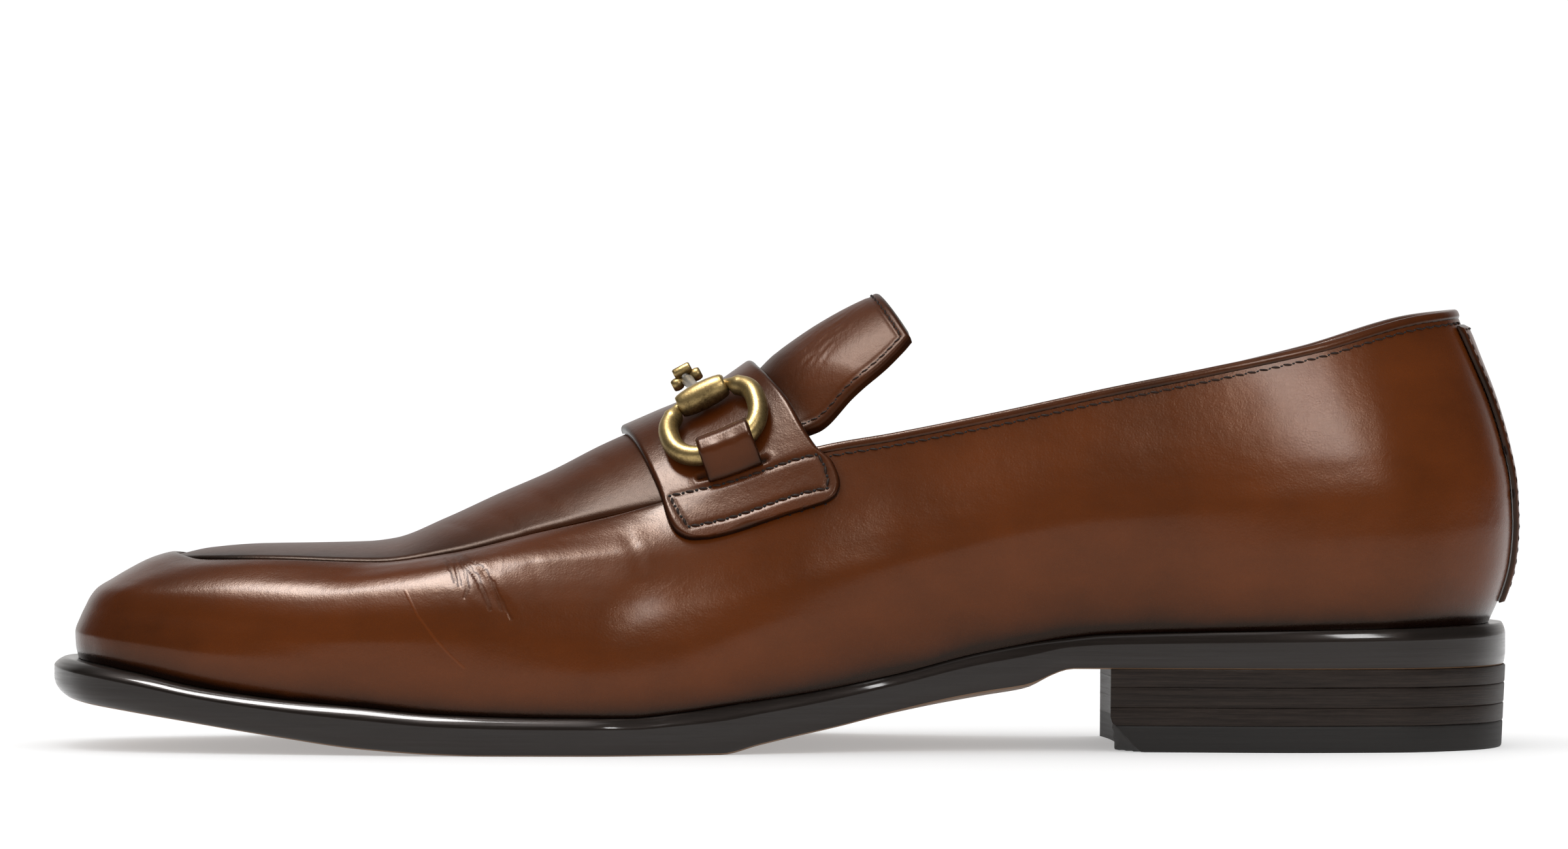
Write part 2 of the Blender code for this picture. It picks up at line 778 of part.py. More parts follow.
def make_upper():
    turns, corner = throat_turns()
    levels = np.linspace(0, 1, WALL_ROWS + 1)
    medial = wall(turns[None, :], levels[:, None], -1)
    lateral = wall(turns[None, ::-1], levels[:, None], 1)
    outer = np.concatenate([medial, lateral[:, 1:-1]], axis=1)
    centre = np.array([0.0, 0.0, 0.030])
    inward = grid_normals(outer, outer - centre, wrap=True)
    inner = outer - inward * UPPER_WALL
    inner[0, :, 2] = outer[0, :, 2]
    apron = apron_grid(turns, corner, APRON_CELLS)
    apron_inner = apron - instep_normals(apron[..., 0], across_of(apron)) * UPPER_WALL
    apron_inner[0] = apron[0] - np.array([0, 0, UPPER_WALL])

    top_x = outer[-1, :, 0]
    step = SEAM_STEP * (1 - fade(top_x, SEAM_FADE_START, SEAM_FADE_END))
    trim = (BINDING_HEIGHT + STACK_GAP) * fade(top_x, THROAT_X + 1.5 * MM, BINDING_START)
    drop = outer[-2] - outer[-1]
    drop = drop / np.linalg.norm(drop, axis=-1, keepdims=True)
    count = 2 * len(turns) - 2
    lower_outer = outer[-1] + drop * trim[:, None]
    lower_outer[:, 2] -= step
    inner[-1] = inner[-1] + drop * trim[:, None]
    front = [i for i in range(count) if i <= corner or i >= count - corner]
    edge_medial, edge_lateral = apron[:, 0], apron[:, -1]
    inner_medial, inner_lateral = apron_inner[:, 0], apron_inner[:, -1]
    seam_top = lower_outer.copy()
    for i in front:
        on_medial = i <= corner
        row = i if on_medial else count - i
        seam_top[i] = edge_medial[row] if on_medial else edge_lateral[row]
        inner[-1, i] = inner_medial[row] if on_medial else inner_lateral[row]
    outer[-1] = lower_outer

    closing = []
    foot = np.stack([outer[0], inner[0]])
    closing.append((foot, True))
    closing.append((np.stack([lower_outer, seam_top]), True))
    throat = np.stack([apron[-1], apron_inner[-1]])
    closing.append((throat, False))
    collar_index = np.arange(corner, count - corner + 1)
    collar = np.stack([seam_top[collar_index], inner[-1][collar_index]])
    closing.append((collar, False))
    grids = [(outer, True), (inner, True), (apron, False), (apron_inner, False)]
    return solid("upper", grids + closing, LEATHER)


def across_of(points):
    """Share across the instep of points on it."""
    side = np.where(points[..., 1] < 0, -1, 1)
    half = np.where(side < 0, topline_half_width(points[..., 0], -1),
                    topline_half_width(points[..., 0], 1))
    return points[..., 1] / np.maximum(half, 1e-9)


# Tongue

TONGUE_ROWS = 14
TONGUE_CELLS = 8
TONGUE_CLEARANCE = UPPER_WALL + 0.8 * MM
UNDER_STRAP = 0.2 * MM
TONGUE_RISE = 13.0 * MM


def make_tongue():
    first, last = TONGUE_SHAPE[0][0], TONGUE_SHAPE[-1][0]
    shares = first + (last - first) * np.linspace(0, 1, TONGUE_ROWS) ** 0.8
    across = np.linspace(-1, 1, TONGUE_CELLS + 1)
    reach = read(TONGUE_SHAPE, shares, 1)[:, None] * SOLE_LENGTH
    half = read(TONGUE_SHAPE, shares, 2)[:, None] * BALL_WIDTH
    x = along(shares)[:, None] + reach * np.abs(across[None, :]) ** 2
    y = half * across[None, :]
    side_half = np.where(y < 0, topline_half_width(x, -1), topline_half_width(x, 1))
    surface = instep(x, y / side_half)
    facing = instep_normals(x, y / side_half)
    throat_edge = THROAT_X - THROAT_SWEEP * (1 - across ** 2)
    depth = 1 - fade(x - throat_edge, 0.0, TONGUE_RISE)
    under_strap = UNDER_STRAP * (1 - fade(shares, 0.485, 0.505))[:, None]
    clearance = np.maximum(TONGUE_CLEARANCE * depth, under_strap)
    outer = surface - facing * clearance[..., None]
    inner = outer - facing * TONGUE_THICKNESS
    return slab("tongue", inner, outer, LEATHER)


# Strap, binding, back strap

STRAP_ROWS_ON_WALL = (0.79, 0.80, 0.82, 0.85, 0.90, 0.95)
STRAP_ROWS_ON_INSTEP = (1.05, 1.15, 1.27, 1.41, 1.56, 1.71, 1.86, 2.0)
STRAP_CELLS = 5


def strap_line(level, x, side):
    """Points of the upper's outer face along x at one level of the strap."""
    if level <= 1.0:
        turns = np.linspace(0.3, 0.7, 401)
        line = wall(turns, level, side)
        return np.stack([np.interp(x, line[:, 0], line[:, k]) for k in range(3)], axis=-1)
    return instep(x, side * (2.0 - level) * np.ones_like(x))


def strap_surface(side):
    rows = []
    for level in STRAP_ROWS_ON_WALL + STRAP_ROWS_ON_INSTEP:
        front = along(read(STRAP_EDGES, level, 1))
        rear = along(read(STRAP_EDGES, level, 2))
        rows.append(strap_line(level, np.linspace(front, rear, STRAP_CELLS + 1), side))
    return np.stack(rows)


def make_strap():
    medial = strap_surface(-1)
    lateral = strap_surface(1)[::-1]
    surface = np.concatenate([medial, lateral[1:]])
    facing = grid_normals(surface, surface - np.array([-0.010, 0.0, 0.020]))
    lower = surface + facing * OVERLAY_GAP
    upper_grid = surface + facing * (OVERLAY_GAP + STRAP_THICKNESS)
    return slab("saddle_strap", lower, upper_grid, STRAP_LEATHER)


BINDING_PROFILE = (
    (-0.42, 0.10),
    (0.42, 0.10),
    (0.56, 0.50),
    (0.30, 1.00),
    (-0.30, 1.00),
    (-0.56, 0.50),
)
BINDING_START = 10.7 * MM


def make_binding():
    ring_x, _ = topline_ring(FINE_TURN, 1)
    start = float(np.interp(BINDING_START, ring_x, FINE_TURN))
    columns, corner = throat_turns()
    turns = np.concatenate([[start], columns[columns > start + 0.004]])
    medial = [wall(turns, level, -1) for level in (1.0, 0.9)]
    lateral = [wall(turns[::-1], level, 1)[1:] for level in (1.0, 0.9)]
    top = np.concatenate([medial[0], lateral[0]])
    below = np.concatenate([medial[1], lateral[1]])
    up = top - below
    up = up / np.linalg.norm(up, axis=-1, keepdims=True)
    run = np.gradient(top, axis=0)
    run = run / np.linalg.norm(run, axis=-1, keepdims=True)
    out = np.cross(run, up)
    out = out / np.linalg.norm(out, axis=-1, keepdims=True)
    centre = np.array([0.08, 0.0, 0.0])
    flip = np.sum(out * (top - centre), axis=-1, keepdims=True) < 0
    out = np.where(flip, -out, out)
    base = top - up * BINDING_HEIGHT - out * UPPER_WALL / 2
    rings = []
    for sideways, height in BINDING_PROFILE:
        rings.append(base + out * sideways * BINDING_WIDTH + up * height * BINDING_HEIGHT)
    tube = np.stack(rings, axis=1)
    return solid("collar_binding", [(tube, True), *end_caps(tube)], LEATHER)


def end_caps(tube):
    """Grids that close both ends of an open tube of closed rings."""
    caps = []
    for ring in (tube[0], tube[-1]):
        middle = np.repeat(ring.mean(axis=0, keepdims=True), len(ring), axis=0)
        caps.append((np.stack([ring, middle]), True))
    return caps


BACK_STRAP_ROWS = 10
BACK_STRAP_CELLS = 4


def make_back_strap():
    levels = np.linspace(BACK_STRAP_WIDTH[0][0], BACK_STRAP_WIDTH[-1][0], BACK_STRAP_ROWS)
    turns = np.linspace(0.80, 1.0, 161)
    rows = []
    for level in levels:
        half = float(read(BACK_STRAP_WIDTH, level)) * BALL_WIDTH
        y = np.linspace(-half, half, BACK_STRAP_CELLS + 1)
        row = np.empty((len(y), 3))
        for side in (-1, 1):
            line = wall(turns, level, side)[::-1]
            chosen = y * side >= 0
            reach = np.abs(line[:, 1])
            row[chosen] = np.stack([np.interp(np.abs(y[chosen]), reach, line[:, k])
                                    for k in range(3)], axis=-1)
            row[chosen, 1] = y[chosen]
        rows.append(row)
    surface = np.stack(rows)
    facing = grid_normals(surface, np.array([1.0, 0.0, 0.0]))
    lower = surface + facing * OVERLAY_GAP
    upper_grid = lower + facing * BACK_STRAP_THICKNESS
    return slab("back_strap", lower, upper_grid, LEATHER)


# Keepers and bit

STRAP_TOP = OVERLAY_GAP + STRAP_THICKNESS
SADDLE = (math.cos(INSTEP_SLOPE), 0.0, math.sin(INSTEP_SLOPE))


def on_strap(lengthwise, down, side, height):
    """Point over the strap: lengthwise along the instep, down from its barrel, raised by height.

    Down is measured along the section from the barrel's place towards the wall."""
    across = np.linspace(0, 1, 201)
    x0 = BIT_CENTRE_X
    section = instep(np.full_like(across, x0), side * across)
    gone = np.concatenate([[0], np.cumsum(np.linalg.norm(np.diff(section, axis=0), axis=1))])
    barrel_at = np.interp(BARREL_OFFSET, across, gone)
    reach = np.interp(barrel_at + np.asarray(down), gone, across)
    x = x0 + np.asarray(lengthwise) * SADDLE[0] + 0.20 * np.asarray(down)
    base = instep(x, side * reach)
    facing = instep_normals(x, side * reach)
    return base + facing * (STRAP_TOP + np.asarray(height))[..., None]


def tube_around(path, radii, sides, closed):
    """Rings of points round a path, turned as little as possible from one to the next."""
    count = len(path)
    if closed:
        run = np.roll(path, -1, axis=0) - np.roll(path, 1, axis=0)
    else:
        run = np.gradient(path, axis=0)
    run = run / np.linalg.norm(run, axis=1, keepdims=True)
    first = np.cross(run[0], [0.3, 0.2, 1.0])
    axes = [first / np.linalg.norm(first)]
    for i in range(1, count):
        turned = axes[-1] - run[i] * np.dot(axes[-1], run[i])
        axes.append(turned / np.linalg.norm(turned))
    axes = np.array(axes)
    if closed:
        last = axes[-1] - run[0] * np.dot(axes[-1], run[0])
        twist = math.atan2(np.dot(np.cross(last, axes[0]), run[0]), np.dot(last, axes[0]))
        extra = np.arange(count) / count * twist
        other = np.cross(run, axes)
        axes = axes * np.cos(extra)[:, None] + other * np.sin(extra)[:, None]
    other = np.cross(run, axes)
    angle = np.linspace(0, 2 * math.pi, sides, endpoint=False)
    circle = np.cos(angle)[None, :, None] * axes[:, None] + np.sin(angle)[None, :, None] * other[:, None]
    return path[:, None, :] + circle * np.asarray(radii)[:, None, None]


RING_POINTS = 30
RING_SIDES = 8
RING_LIFT = 0.35 * MM
RING_SQUARENESS = 2.5
PIN_HALF = BARREL_LENGTH / 2
PIN_CLEARANCE = 0.5 * MM
TAPER_LENGTH = 2.8 * MM


def ring_outline():
    """Places round one ring: lengthwise and down from its pin, a rounded square evenly divided."""
    turn = np.linspace(0, 2 * math.pi, 1441)
    power = 2 / RING_SQUARENESS
    lengthwise = -RING_HALF_LENGTH * np.sign(np.cos(turn)) * np.abs(np.cos(turn)) ** power
    down = RING_DROP / 2 * (1 - np.sign(np.sin(turn)) * np.abs(np.sin(turn)) ** power)
    gone = np.concatenate([[0], np.cumsum(np.hypot(np.diff(lengthwise), np.diff(down)))])
    places = np.linspace(0, gone[-1], RING_POINTS + 1)[:-1]
    return np.interp(places, gone, lengthwise), np.interp(places, gone, down)


def make_ring(side):
    lengthwise, down = ring_outline()
    on_top = (down < RING_DROP / 2) & (np.abs(lengthwise) < PIN_HALF + TAPER_LENGTH)
    keep = ~on_top
    pin_end = PIN_HALF + PIN_CLEARANCE
    pin = np.array([-pin_end - 1.0 * MM, -pin_end, 0.0, pin_end, pin_end + 1.0 * MM])
    first = int(np.argmax(on_top))
    order = np.roll(np.arange(len(down)), -first)
    order = order[keep[order]]
    start, end = barrel_axis(side)
    share = (pin + PIN_HALF) / BARREL_LENGTH
    straight = start + (end - start) * share[:, None]
    bow = on_strap(lengthwise[order], down[order], side,
                   np.full(len(order), WIRE_RADIUS + RING_LIFT))
    path = np.concatenate([straight, bow])
    shoulder = 0.8 * WIRE_RADIUS
    pin_radii = np.array([shoulder, PIN_RADIUS, PIN_RADIUS, PIN_RADIUS, shoulder])
    bow_radii = np.full(len(order), WIRE_RADIUS)
    bow_radii[[0, -1]] = 0.9 * WIRE_RADIUS
    radii = np.concatenate([pin_radii, bow_radii])
    tube = tube_around(path, radii, RING_SIDES, closed=True)
    closed_tube = np.concatenate([tube, tube[:1]])
    name = "bit_ring_medial" if side < 0 else "bit_ring_lateral"
    return solid(name, [(closed_tube, True)], BRASS)


def barrel_axis(side):
    """Ends of the straight axis through one barrel."""
    ends = on_strap(np.array([-PIN_HALF, PIN_HALF]), np.zeros(2), side,
                    np.full(2, BARREL_RADIUS + 0.25 * MM))
    return ends[0], ends[1]


BARREL_SECTION = (
    (-0.50, 0.50),
    (-0.50, 0.78),
    (-0.38, 0.92),
    (0.00, 1.00),
    (0.38, 0.92),
    (0.50, 0.78),
    (0.50, 0.50),
)
BARREL_SIDES = 12
NECK_RADIUS = 1.35 * MM
NECK_GAP = 1.7 * MM


def turned(axis_start, axis_end, profile, sides):
    """Grid of a profile of (share along, radius) turned about an axis."""
    axis = axis_end - axis_start
    run = axis / np.linalg.norm(axis)
    one = np.cross(run, [0.0, 0.0, 1.0])
    one = one / np.linalg.norm(one)
    two = np.cross(run, one)
    angle = np.linspace(0, 2 * math.pi, sides, endpoint=False)
    rows = []
    for share, radius in profile:
        spoke = np.cos(angle)[:, None] * one + np.sin(angle)[:, None] * two
        rows.append(axis_start + axis * share + spoke * radius)
    return np.stack(rows)


def make_barrel(side):
    start, end = barrel_axis(side)
    name = "bit_barrel_medial" if side < 0 else "bit_barrel_lateral"
    profile = [(0.5 + share, radius * BARREL_RADIUS) for share, radius in BARREL_SECTION]
    profile[0] = (0.0, BARREL_BORE)
    profile[-1] = (1.0, BARREL_BORE)
    profile.append(profile[0])
    barrel = solid(name, [(turned(start, end, profile, BARREL_SIDES), True)], BRASS)
    middle = (start + end) / 2
    ridge = ridge_point()
    run = ridge - middle
    reach = np.linalg.norm(run)
    run = run / reach
    neck_start = middle + run * (BARREL_RADIUS - 0.9 * MM)
    neck_end = middle + run * (reach - NECK_GAP)
    neck_profile = [(0.0, 1e-6), (0.0, 1.25 * NECK_RADIUS), (0.35, 0.85 * NECK_RADIUS),
                    (0.75, 0.85 * NECK_RADIUS), (1.0, NECK_RADIUS), (1.0, 1e-6)]
    neck = solid(name + "_neck", [(turned(neck_start, neck_end, neck_profile, 10), True)], BRASS)
    join(barrel, neck)
    return barrel


def join(piece, added):
    """Adds one solid to another for good."""
    union = piece.modifiers.new("join", "BOOLEAN")
    union.operation = "UNION"
    union.solver = "EXACT"
    union.object = added
    shaped = bpy.data.meshes.new_from_object(
        piece.evaluated_get(bpy.context.evaluated_depsgraph_get()))
    piece.modifiers.clear()
    piece.data = shaped
    bpy.data.objects.remove(added, do_unlink=True)


LINK_LIFT = 3.5 * MM
LINK_X = BIT_CENTRE_X - 3.1 * MM
PIN_LENGTH = 6.6 * MM
KNOB_RADIUS = 1.35 * MM
CAP_LENGTH = 3.9 * MM


def ridge_point():
    """Centre of the pin that joins the two halves of the bit over the ridge."""
    base = instep(np.array(LINK_X), np.array(0.0))
    facing = instep_normals(np.array(LINK_X), np.array(0.0))
    return base + facing * (STRAP_TOP + LINK_LIFT)


def make_link():
    centre = ridge_point()
    run = np.array(SADDLE)
    up = np.array([-SADDLE[2], 0.0, SADDLE[0]])
    half = run * PIN_LENGTH / 2
    knobs = [(0.0, 1e-6), (0.0, 0.75 * KNOB_RADIUS), (0.12, KNOB_RADIUS), (0.26, KNOB_RADIUS),
             (0.36, 0.7 * KNOB_RADIUS), (0.64, 0.7 * KNOB_RADIUS), (0.74, KNOB_RADIUS),
             (0.88, KNOB_RADIUS), (1.0, 0.75 * KNOB_RADIUS), (1.0, 1e-6)]
    pin = solid("bit_centre_link", [(turned(centre - half, centre + half, knobs, 12), True)], BRASS)
    half = run * CAP_LENGTH / 2
    top = centre + up * 2.0 * MM
    radius = 1.05 * MM
    plain = [(0.0, 1e-6), (0.0, 0.8 * radius), (0.1, radius), (0.9, radius), (1.0, 0.8 * radius),
             (1.0, 1e-6)]
    cap = solid("cap", [(turned(top - half, top + half, plain, 12), True)], BRASS)
    join(pin, cap)
    stem = [(0.0, 1e-6), (0.0, 0.8 * MM), (1.0, 0.8 * MM), (1.0, 1e-6)]
    post = solid("post", [(turned(centre, top, stem, 8), True)], BRASS)
    join(pin, post)
    return pin


KEEPER_HALF = 5.6 * MM
KEEPER_SHIFT = 0.8 * MM
KEEPER_COLUMNS = ("down", "height")
KEEPER_ARCH = (
    (11.8, 0.25),
    (12.2, 2.6),
    (13.2, 4.9),
    (15.0, 5.7),
    (16.8, 5.4),
    (18.4, 3.9),
    (19.8, 1.4),
    (20.7, 0.30),
)


def make_keeper(side):
    rows = np.array(KEEPER_ARCH) * MM
    dense = np.linspace(0, 1, 11)
    keys = np.linspace(0, 1, len(rows))
    down = smooth(dense, keys, rows[:, 0])
    height = smooth(dense, keys, rows[:, 1])
    lengthwise = np.linspace(-KEEPER_HALF, KEEPER_HALF, 4) + KEEPER_SHIFT
    lower = np.stack([on_strap(lengthwise, np.full(4, d), side, np.full(4, h))
                      for d, h in zip(down, height)])
    wire = on_strap(lengthwise, np.full(4, RING_DROP), side, np.full(4, WIRE_RADIUS + RING_LIFT))
    facing = grid_normals(lower, lower - wire)
    upper_grid = lower + facing * KEEPER_THICKNESS
    name = "keeper_medial" if side < 0 else "keeper_lateral"
    return slab(name, lower, upper_grid, STRAP_LEATHER)


def stand_on_origin():
    """Moves every mesh so that the bounding box stands centred on the origin."""
    shapes = list(COLLECTION.objects) + list(CUTTERS.objects)
    points = np.concatenate([np.array([v.co for v in piece.data.vertices])
                             for piece in COLLECTION.objects])
    low, high = points.min(axis=0), points.max(axis=0)
    move = Matrix.Translation((-(low[0] + high[0]) / 2, -(low[1] + high[1]) / 2, -low[2]))
    for piece in shapes:
        piece.data.transform(move)
    print("moved by", [round(v * 1000, 3) for v in move.translation])


make_outsole()
make_midsole()
lifts = make_heel()
cut_heel_corner(lifts[-1])
make_insole()
make_upper()
make_tongue()
make_strap()
make_binding()
make_back_strap()
for which in (-1, 1):
    make_keeper(which)
    make_ring(which)
    make_barrel(which)
make_link()
stand_on_origin()
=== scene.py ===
# %% [markdown]
# # A brown leather bit loafer
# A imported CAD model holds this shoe's sizes. The lesson loads it, then builds each visible
# piece again as a fine surface over the coarse one, and gives every piece its own finish.
# The shoe is a right one, seen from its inner side, with the toe to the left.

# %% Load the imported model
import math

import bpy
import bmesh
import numpy as np
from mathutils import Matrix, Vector


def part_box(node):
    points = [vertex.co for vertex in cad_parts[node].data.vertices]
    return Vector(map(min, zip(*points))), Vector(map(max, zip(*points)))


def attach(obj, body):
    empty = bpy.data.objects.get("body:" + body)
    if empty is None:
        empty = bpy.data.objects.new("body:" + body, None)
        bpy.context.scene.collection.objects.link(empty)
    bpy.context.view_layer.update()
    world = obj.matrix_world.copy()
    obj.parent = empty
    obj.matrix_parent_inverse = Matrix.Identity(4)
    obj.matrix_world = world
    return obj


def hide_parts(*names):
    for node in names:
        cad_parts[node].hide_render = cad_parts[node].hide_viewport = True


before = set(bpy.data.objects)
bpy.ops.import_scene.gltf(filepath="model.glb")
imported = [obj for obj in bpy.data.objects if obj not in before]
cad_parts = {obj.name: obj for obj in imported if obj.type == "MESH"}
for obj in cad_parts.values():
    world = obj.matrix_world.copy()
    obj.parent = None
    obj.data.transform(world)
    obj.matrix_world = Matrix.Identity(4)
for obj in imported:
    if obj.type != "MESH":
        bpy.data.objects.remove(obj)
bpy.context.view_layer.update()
scene = bpy.context.scene
print("nodes:", len(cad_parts))

# %% [markdown]
# ## Camera
# The photograph was taken from far away with a long lens, almost level with the floor.
# A short lens would swell the near side, so the camera stands two metres off and looks
# down by one degree. The picture is 2400 pixels wide and 1300 high.

# %% Camera
CAMERA_LENS = 227.8
CAMERA_PLACE = (-0.0006, -2.056, 0.104)
CAMERA_PITCH = 1.0515

camera = bpy.data.objects.new("camera", bpy.data.cameras.new("camera"))
scene.collection.objects.link(camera)
camera.data.sensor_width = 36
camera.data.lens = CAMERA_LENS
camera.location = CAMERA_PLACE
camera.rotation_euler = (math.radians(90 - CAMERA_PITCH), 0, 0)
scene.camera = camera
print("camera", tuple(round(v, 3) for v in camera.location))

# %% [markdown]
# ## Sizes of the shoe
# A shoemaker starts from the last: its length, its width at the ball of the foot, and the
# heights of the seat and of the back. Every table below is a share of one of those sizes,
# read from toe (0) to heel (1), so one number can change without touching the rest.

# %% Sizes of the last
MM = 0.001
SOLE_LENGTH = 0.300
BALL_WIDTH = 0.108
SEAT_HEIGHT = 0.0257
BACK_HEIGHT = 0.0903
UPPER_WALL = 1.8 * MM
WELT_AT_TOE = 5.0 * MM
WELT_AT_SEAT = 3.5 * MM
SEAT_GAP = 0.14 * MM

# %% Tables of the last
# Plans: station, inner half width, outer half width
OUTSOLE_PLAN = (
    (0.000, 0.000, 0.000), (0.010, 0.160, 0.160), (0.025, 0.232, 0.232),
    (0.055, 0.290, 0.296), (0.100, 0.338, 0.352), (0.200, 0.405, 0.442),
    (0.300, 0.449, 0.500), (0.370, 0.454, 0.528), (0.420, 0.426, 0.532),
    (0.500, 0.352, 0.500), (0.580, 0.287, 0.435), (0.660, 0.269, 0.380),
    (0.750, 0.287, 0.347), (0.850, 0.315, 0.329), (0.920, 0.301, 0.310),
    (0.970, 0.222, 0.227), (1.000, 0.000, 0.000),
)
TOPLINE_PLAN = (
    (0.083, 0.000, 0.000), (0.100, 0.125, 0.125), (0.133, 0.187, 0.190),
    (0.183, 0.231, 0.245), (0.250, 0.259, 0.287), (0.317, 0.269, 0.306),
    (0.383, 0.273, 0.310), (0.467, 0.278, 0.306), (0.527, 0.278, 0.306),
    (0.633, 0.282, 0.296), (0.767, 0.273, 0.278), (0.867, 0.236, 0.236),
    (0.933, 0.160, 0.160), (0.953, 0.105, 0.105), (0.965, 0.000, 0.000),
)
# Margin of the welt, as shares of WELT_AT_TOE
WELT_MARGIN = (
    (0.00, 0.00, 0.00), (0.02, 0.70, 0.70), (0.08, 0.95, 0.95), (0.30, 0.70, 0.80),
    (0.45, 0.45, 0.75), (0.60, 0.10, 0.50), (0.75, 0.35, 0.50), (0.90, 0.50, 0.50),
    (0.97, 0.45, 0.45), (1.00, 0.00, 0.00),
)
# Heights of the sole, as shares of SEAT_HEIGHT
FEATHER_HEIGHT = (
    (0.000, 0.728), (0.017, 0.712), (0.060, 0.628), (0.108, 0.513), (0.163, 0.429),
    (0.217, 0.374), (0.270, 0.321), (0.343, 0.298), (0.397, 0.296), (0.433, 0.334),
    (0.470, 0.394), (0.521, 0.481), (0.576, 0.610), (0.638, 0.790), (0.693, 0.898),
    (0.721, 0.930), (0.777, 0.949), (0.907, 0.977), (0.989, 0.996), (1.000, 1.000),
)
UNDER_HEIGHT = (
    (0.000, 0.456), (0.018, 0.392), (0.054, 0.325), (0.090, 0.262), (0.126, 0.196),
    (0.162, 0.133), (0.214, 0.050), (0.267, 0.009), (0.300, 0.000), (0.460, 0.000),
    (0.486, 0.071), (0.505, 0.122), (0.541, 0.213), (0.577, 0.319), (0.613, 0.417),
    (0.640, 0.475), (0.667, 0.525), (0.700, 0.660), (1.000, 0.660),
)
# Rounding of the sole's edge and belly of its waist
SOLE_EDGE = (
    (0.00, 1.00, 0.00), (0.30, 0.70, 0.00), (0.47, 0.60, 0.00), (0.55, 0.35, 0.55),
    (0.63, 0.25, 1.00), (0.67, 0.25, 0.90), (0.70, 0.25, 0.00), (1.00, 0.25, 0.00),
)
# Heights of the top line and of the ridge, as shares of BACK_HEIGHT
TOPLINE_HEIGHT = (
    (0.083, 0.434, 0.434), (0.153, 0.439, 0.433), (0.225, 0.434, 0.426),
    (0.277, 0.455, 0.439), (0.338, 0.504, 0.481), (0.420, 0.567, 0.543),
    (0.467, 0.615, 0.587), (0.527, 0.694, 0.664), (0.577, 0.724, 0.696),
    (0.649, 0.772, 0.748), (0.721, 0.824, 0.802), (0.793, 0.872, 0.856),
    (0.865, 0.923, 0.915), (0.937, 0.988, 0.987), (0.965, 1.000, 1.000),
)
RIDGE_HEIGHT = (
    (0.083, 0.434), (0.108, 0.452), (0.143, 0.461), (0.183, 0.463), (0.217, 0.466),
    (0.234, 0.473), (0.270, 0.520), (0.306, 0.575), (0.342, 0.627), (0.378, 0.688),
    (0.414, 0.741), (0.450, 0.793), (0.483, 0.866), (0.525, 0.963), (0.548, 1.006),
    (0.570, 1.039), (0.593, 1.068),
)
# Sections of the wall from feather to top line: rise, inset, bulge
TOE_SECTION = (
    (0.00, 0.00, 0.00), (0.12, 0.00, 0.80), (0.25, 0.00, 1.00), (0.40, 0.04, 0.60),
    (0.54, 0.09, 0.00), (0.67, 0.18, 0.00), (0.78, 0.36, 0.00), (0.90, 0.65, 0.00),
    (1.00, 1.00, 0.00),
)
VAMP_SECTION = (
    (0.00, 0.00, 0.00), (0.12, 0.00, 0.50), (0.27, 0.00, 0.90), (0.42, 0.00, 1.00),
    (0.57, 0.04, 0.85), (0.71, 0.14, 0.55), (0.84, 0.34, 0.20), (0.93, 0.64, 0.00),
    (1.00, 1.00, 0.00),
)
QUARTER_SECTION = (
    (0.00, 0.00, 0.00), (0.10, 0.03, 0.45), (0.20, 0.09, 0.76), (0.33, 0.19, 0.95),
    (0.45, 0.30, 1.00), (0.57, 0.43, 0.90), (0.70, 0.585, 0.70), (0.85, 0.784, 0.35),
    (1.00, 1.00, 0.00),
)
SECTION_STATIONS = (0.0, 0.22, 0.46, 1.0)
SECTIONS = (TOE_SECTION, VAMP_SECTION, QUARTER_SECTION, QUARTER_SECTION)
# Bulge of the wall: station, inner, outer
WALL_BULGE = (
    (0.00, 0.006, 0.006), (0.10, 0.014, 0.014), (0.25, 0.020, 0.022), (0.42, 0.036, 0.026),
    (0.55, 0.070, 0.036), (0.70, 0.064, 0.044), (0.85, 0.050, 0.048), (1.00, 0.061, 0.061),
)
print("tables of the last read")

# %% [markdown]
# ## From tables to curves
# A table holds a few rows. A monotone cubic runs through them without the waves that an
# ordinary spline adds, which matters on a shoe: one wave in the top line would show.

# %% Curves through the tables


def smooth(x, xs, ys):
    """Monotone cubic through (xs, ys): each slope is the weighted harmonic mean of the
    slopes beside it, or zero where the curve turns."""
    x, xs, ys = (np.asarray(v, dtype=float) for v in (x, xs, ys))
    width = np.diff(xs)
    slope = np.diff(ys) / width
    before, after = slope[:-1], slope[1:]
    turning = before * after <= 0
    low, high = 2 * width[1:] + width[:-1], width[1:] + 2 * width[:-1]
    mean = (low + high) / (low / np.where(turning, 1, before) + high / np.where(turning, 1, after))
    tangent = np.concatenate([slope[:1], np.where(turning, 0, mean), slope[-1:]])
    x = np.clip(x, xs[0], xs[-1])
    i = np.clip(np.searchsorted(xs, x, side="right") - 1, 0, len(width) - 1)
    t = (x - xs[i]) / width[i]
    start = ys[i] * (1 + 2 * t) * (1 - t) ** 2 + width[i] * tangent[i] * t * (1 - t) ** 2
    end = ys[i + 1] * t * t * (3 - 2 * t) + width[i] * tangent[i + 1] * t * t * (t - 1)
    return start + end


def read(table, x, column=1):
    """Column of a table at x, along its first column."""
    rows = np.array(table)
    return smooth(x, rows[:, 0], rows[:, column])


def fade(x, start, end):
    """0 before start, 1 after end, and the S-curve t * t * (3 - 2t) between them."""
    t = np.clip((x - start) / (end - start), 0, 1)
    return t * t * (3 - 2 * t)


def bump(x, middle, width):
    """Bell of height 1: exp(-((x - middle) / width) squared)."""
    return np.exp(-((x - middle) / width) ** 2)


def station(x):
    """Share along the sole at x, from toe (0) to heel (1): x / length + 0.5."""
    return x / SOLE_LENGTH + 0.5


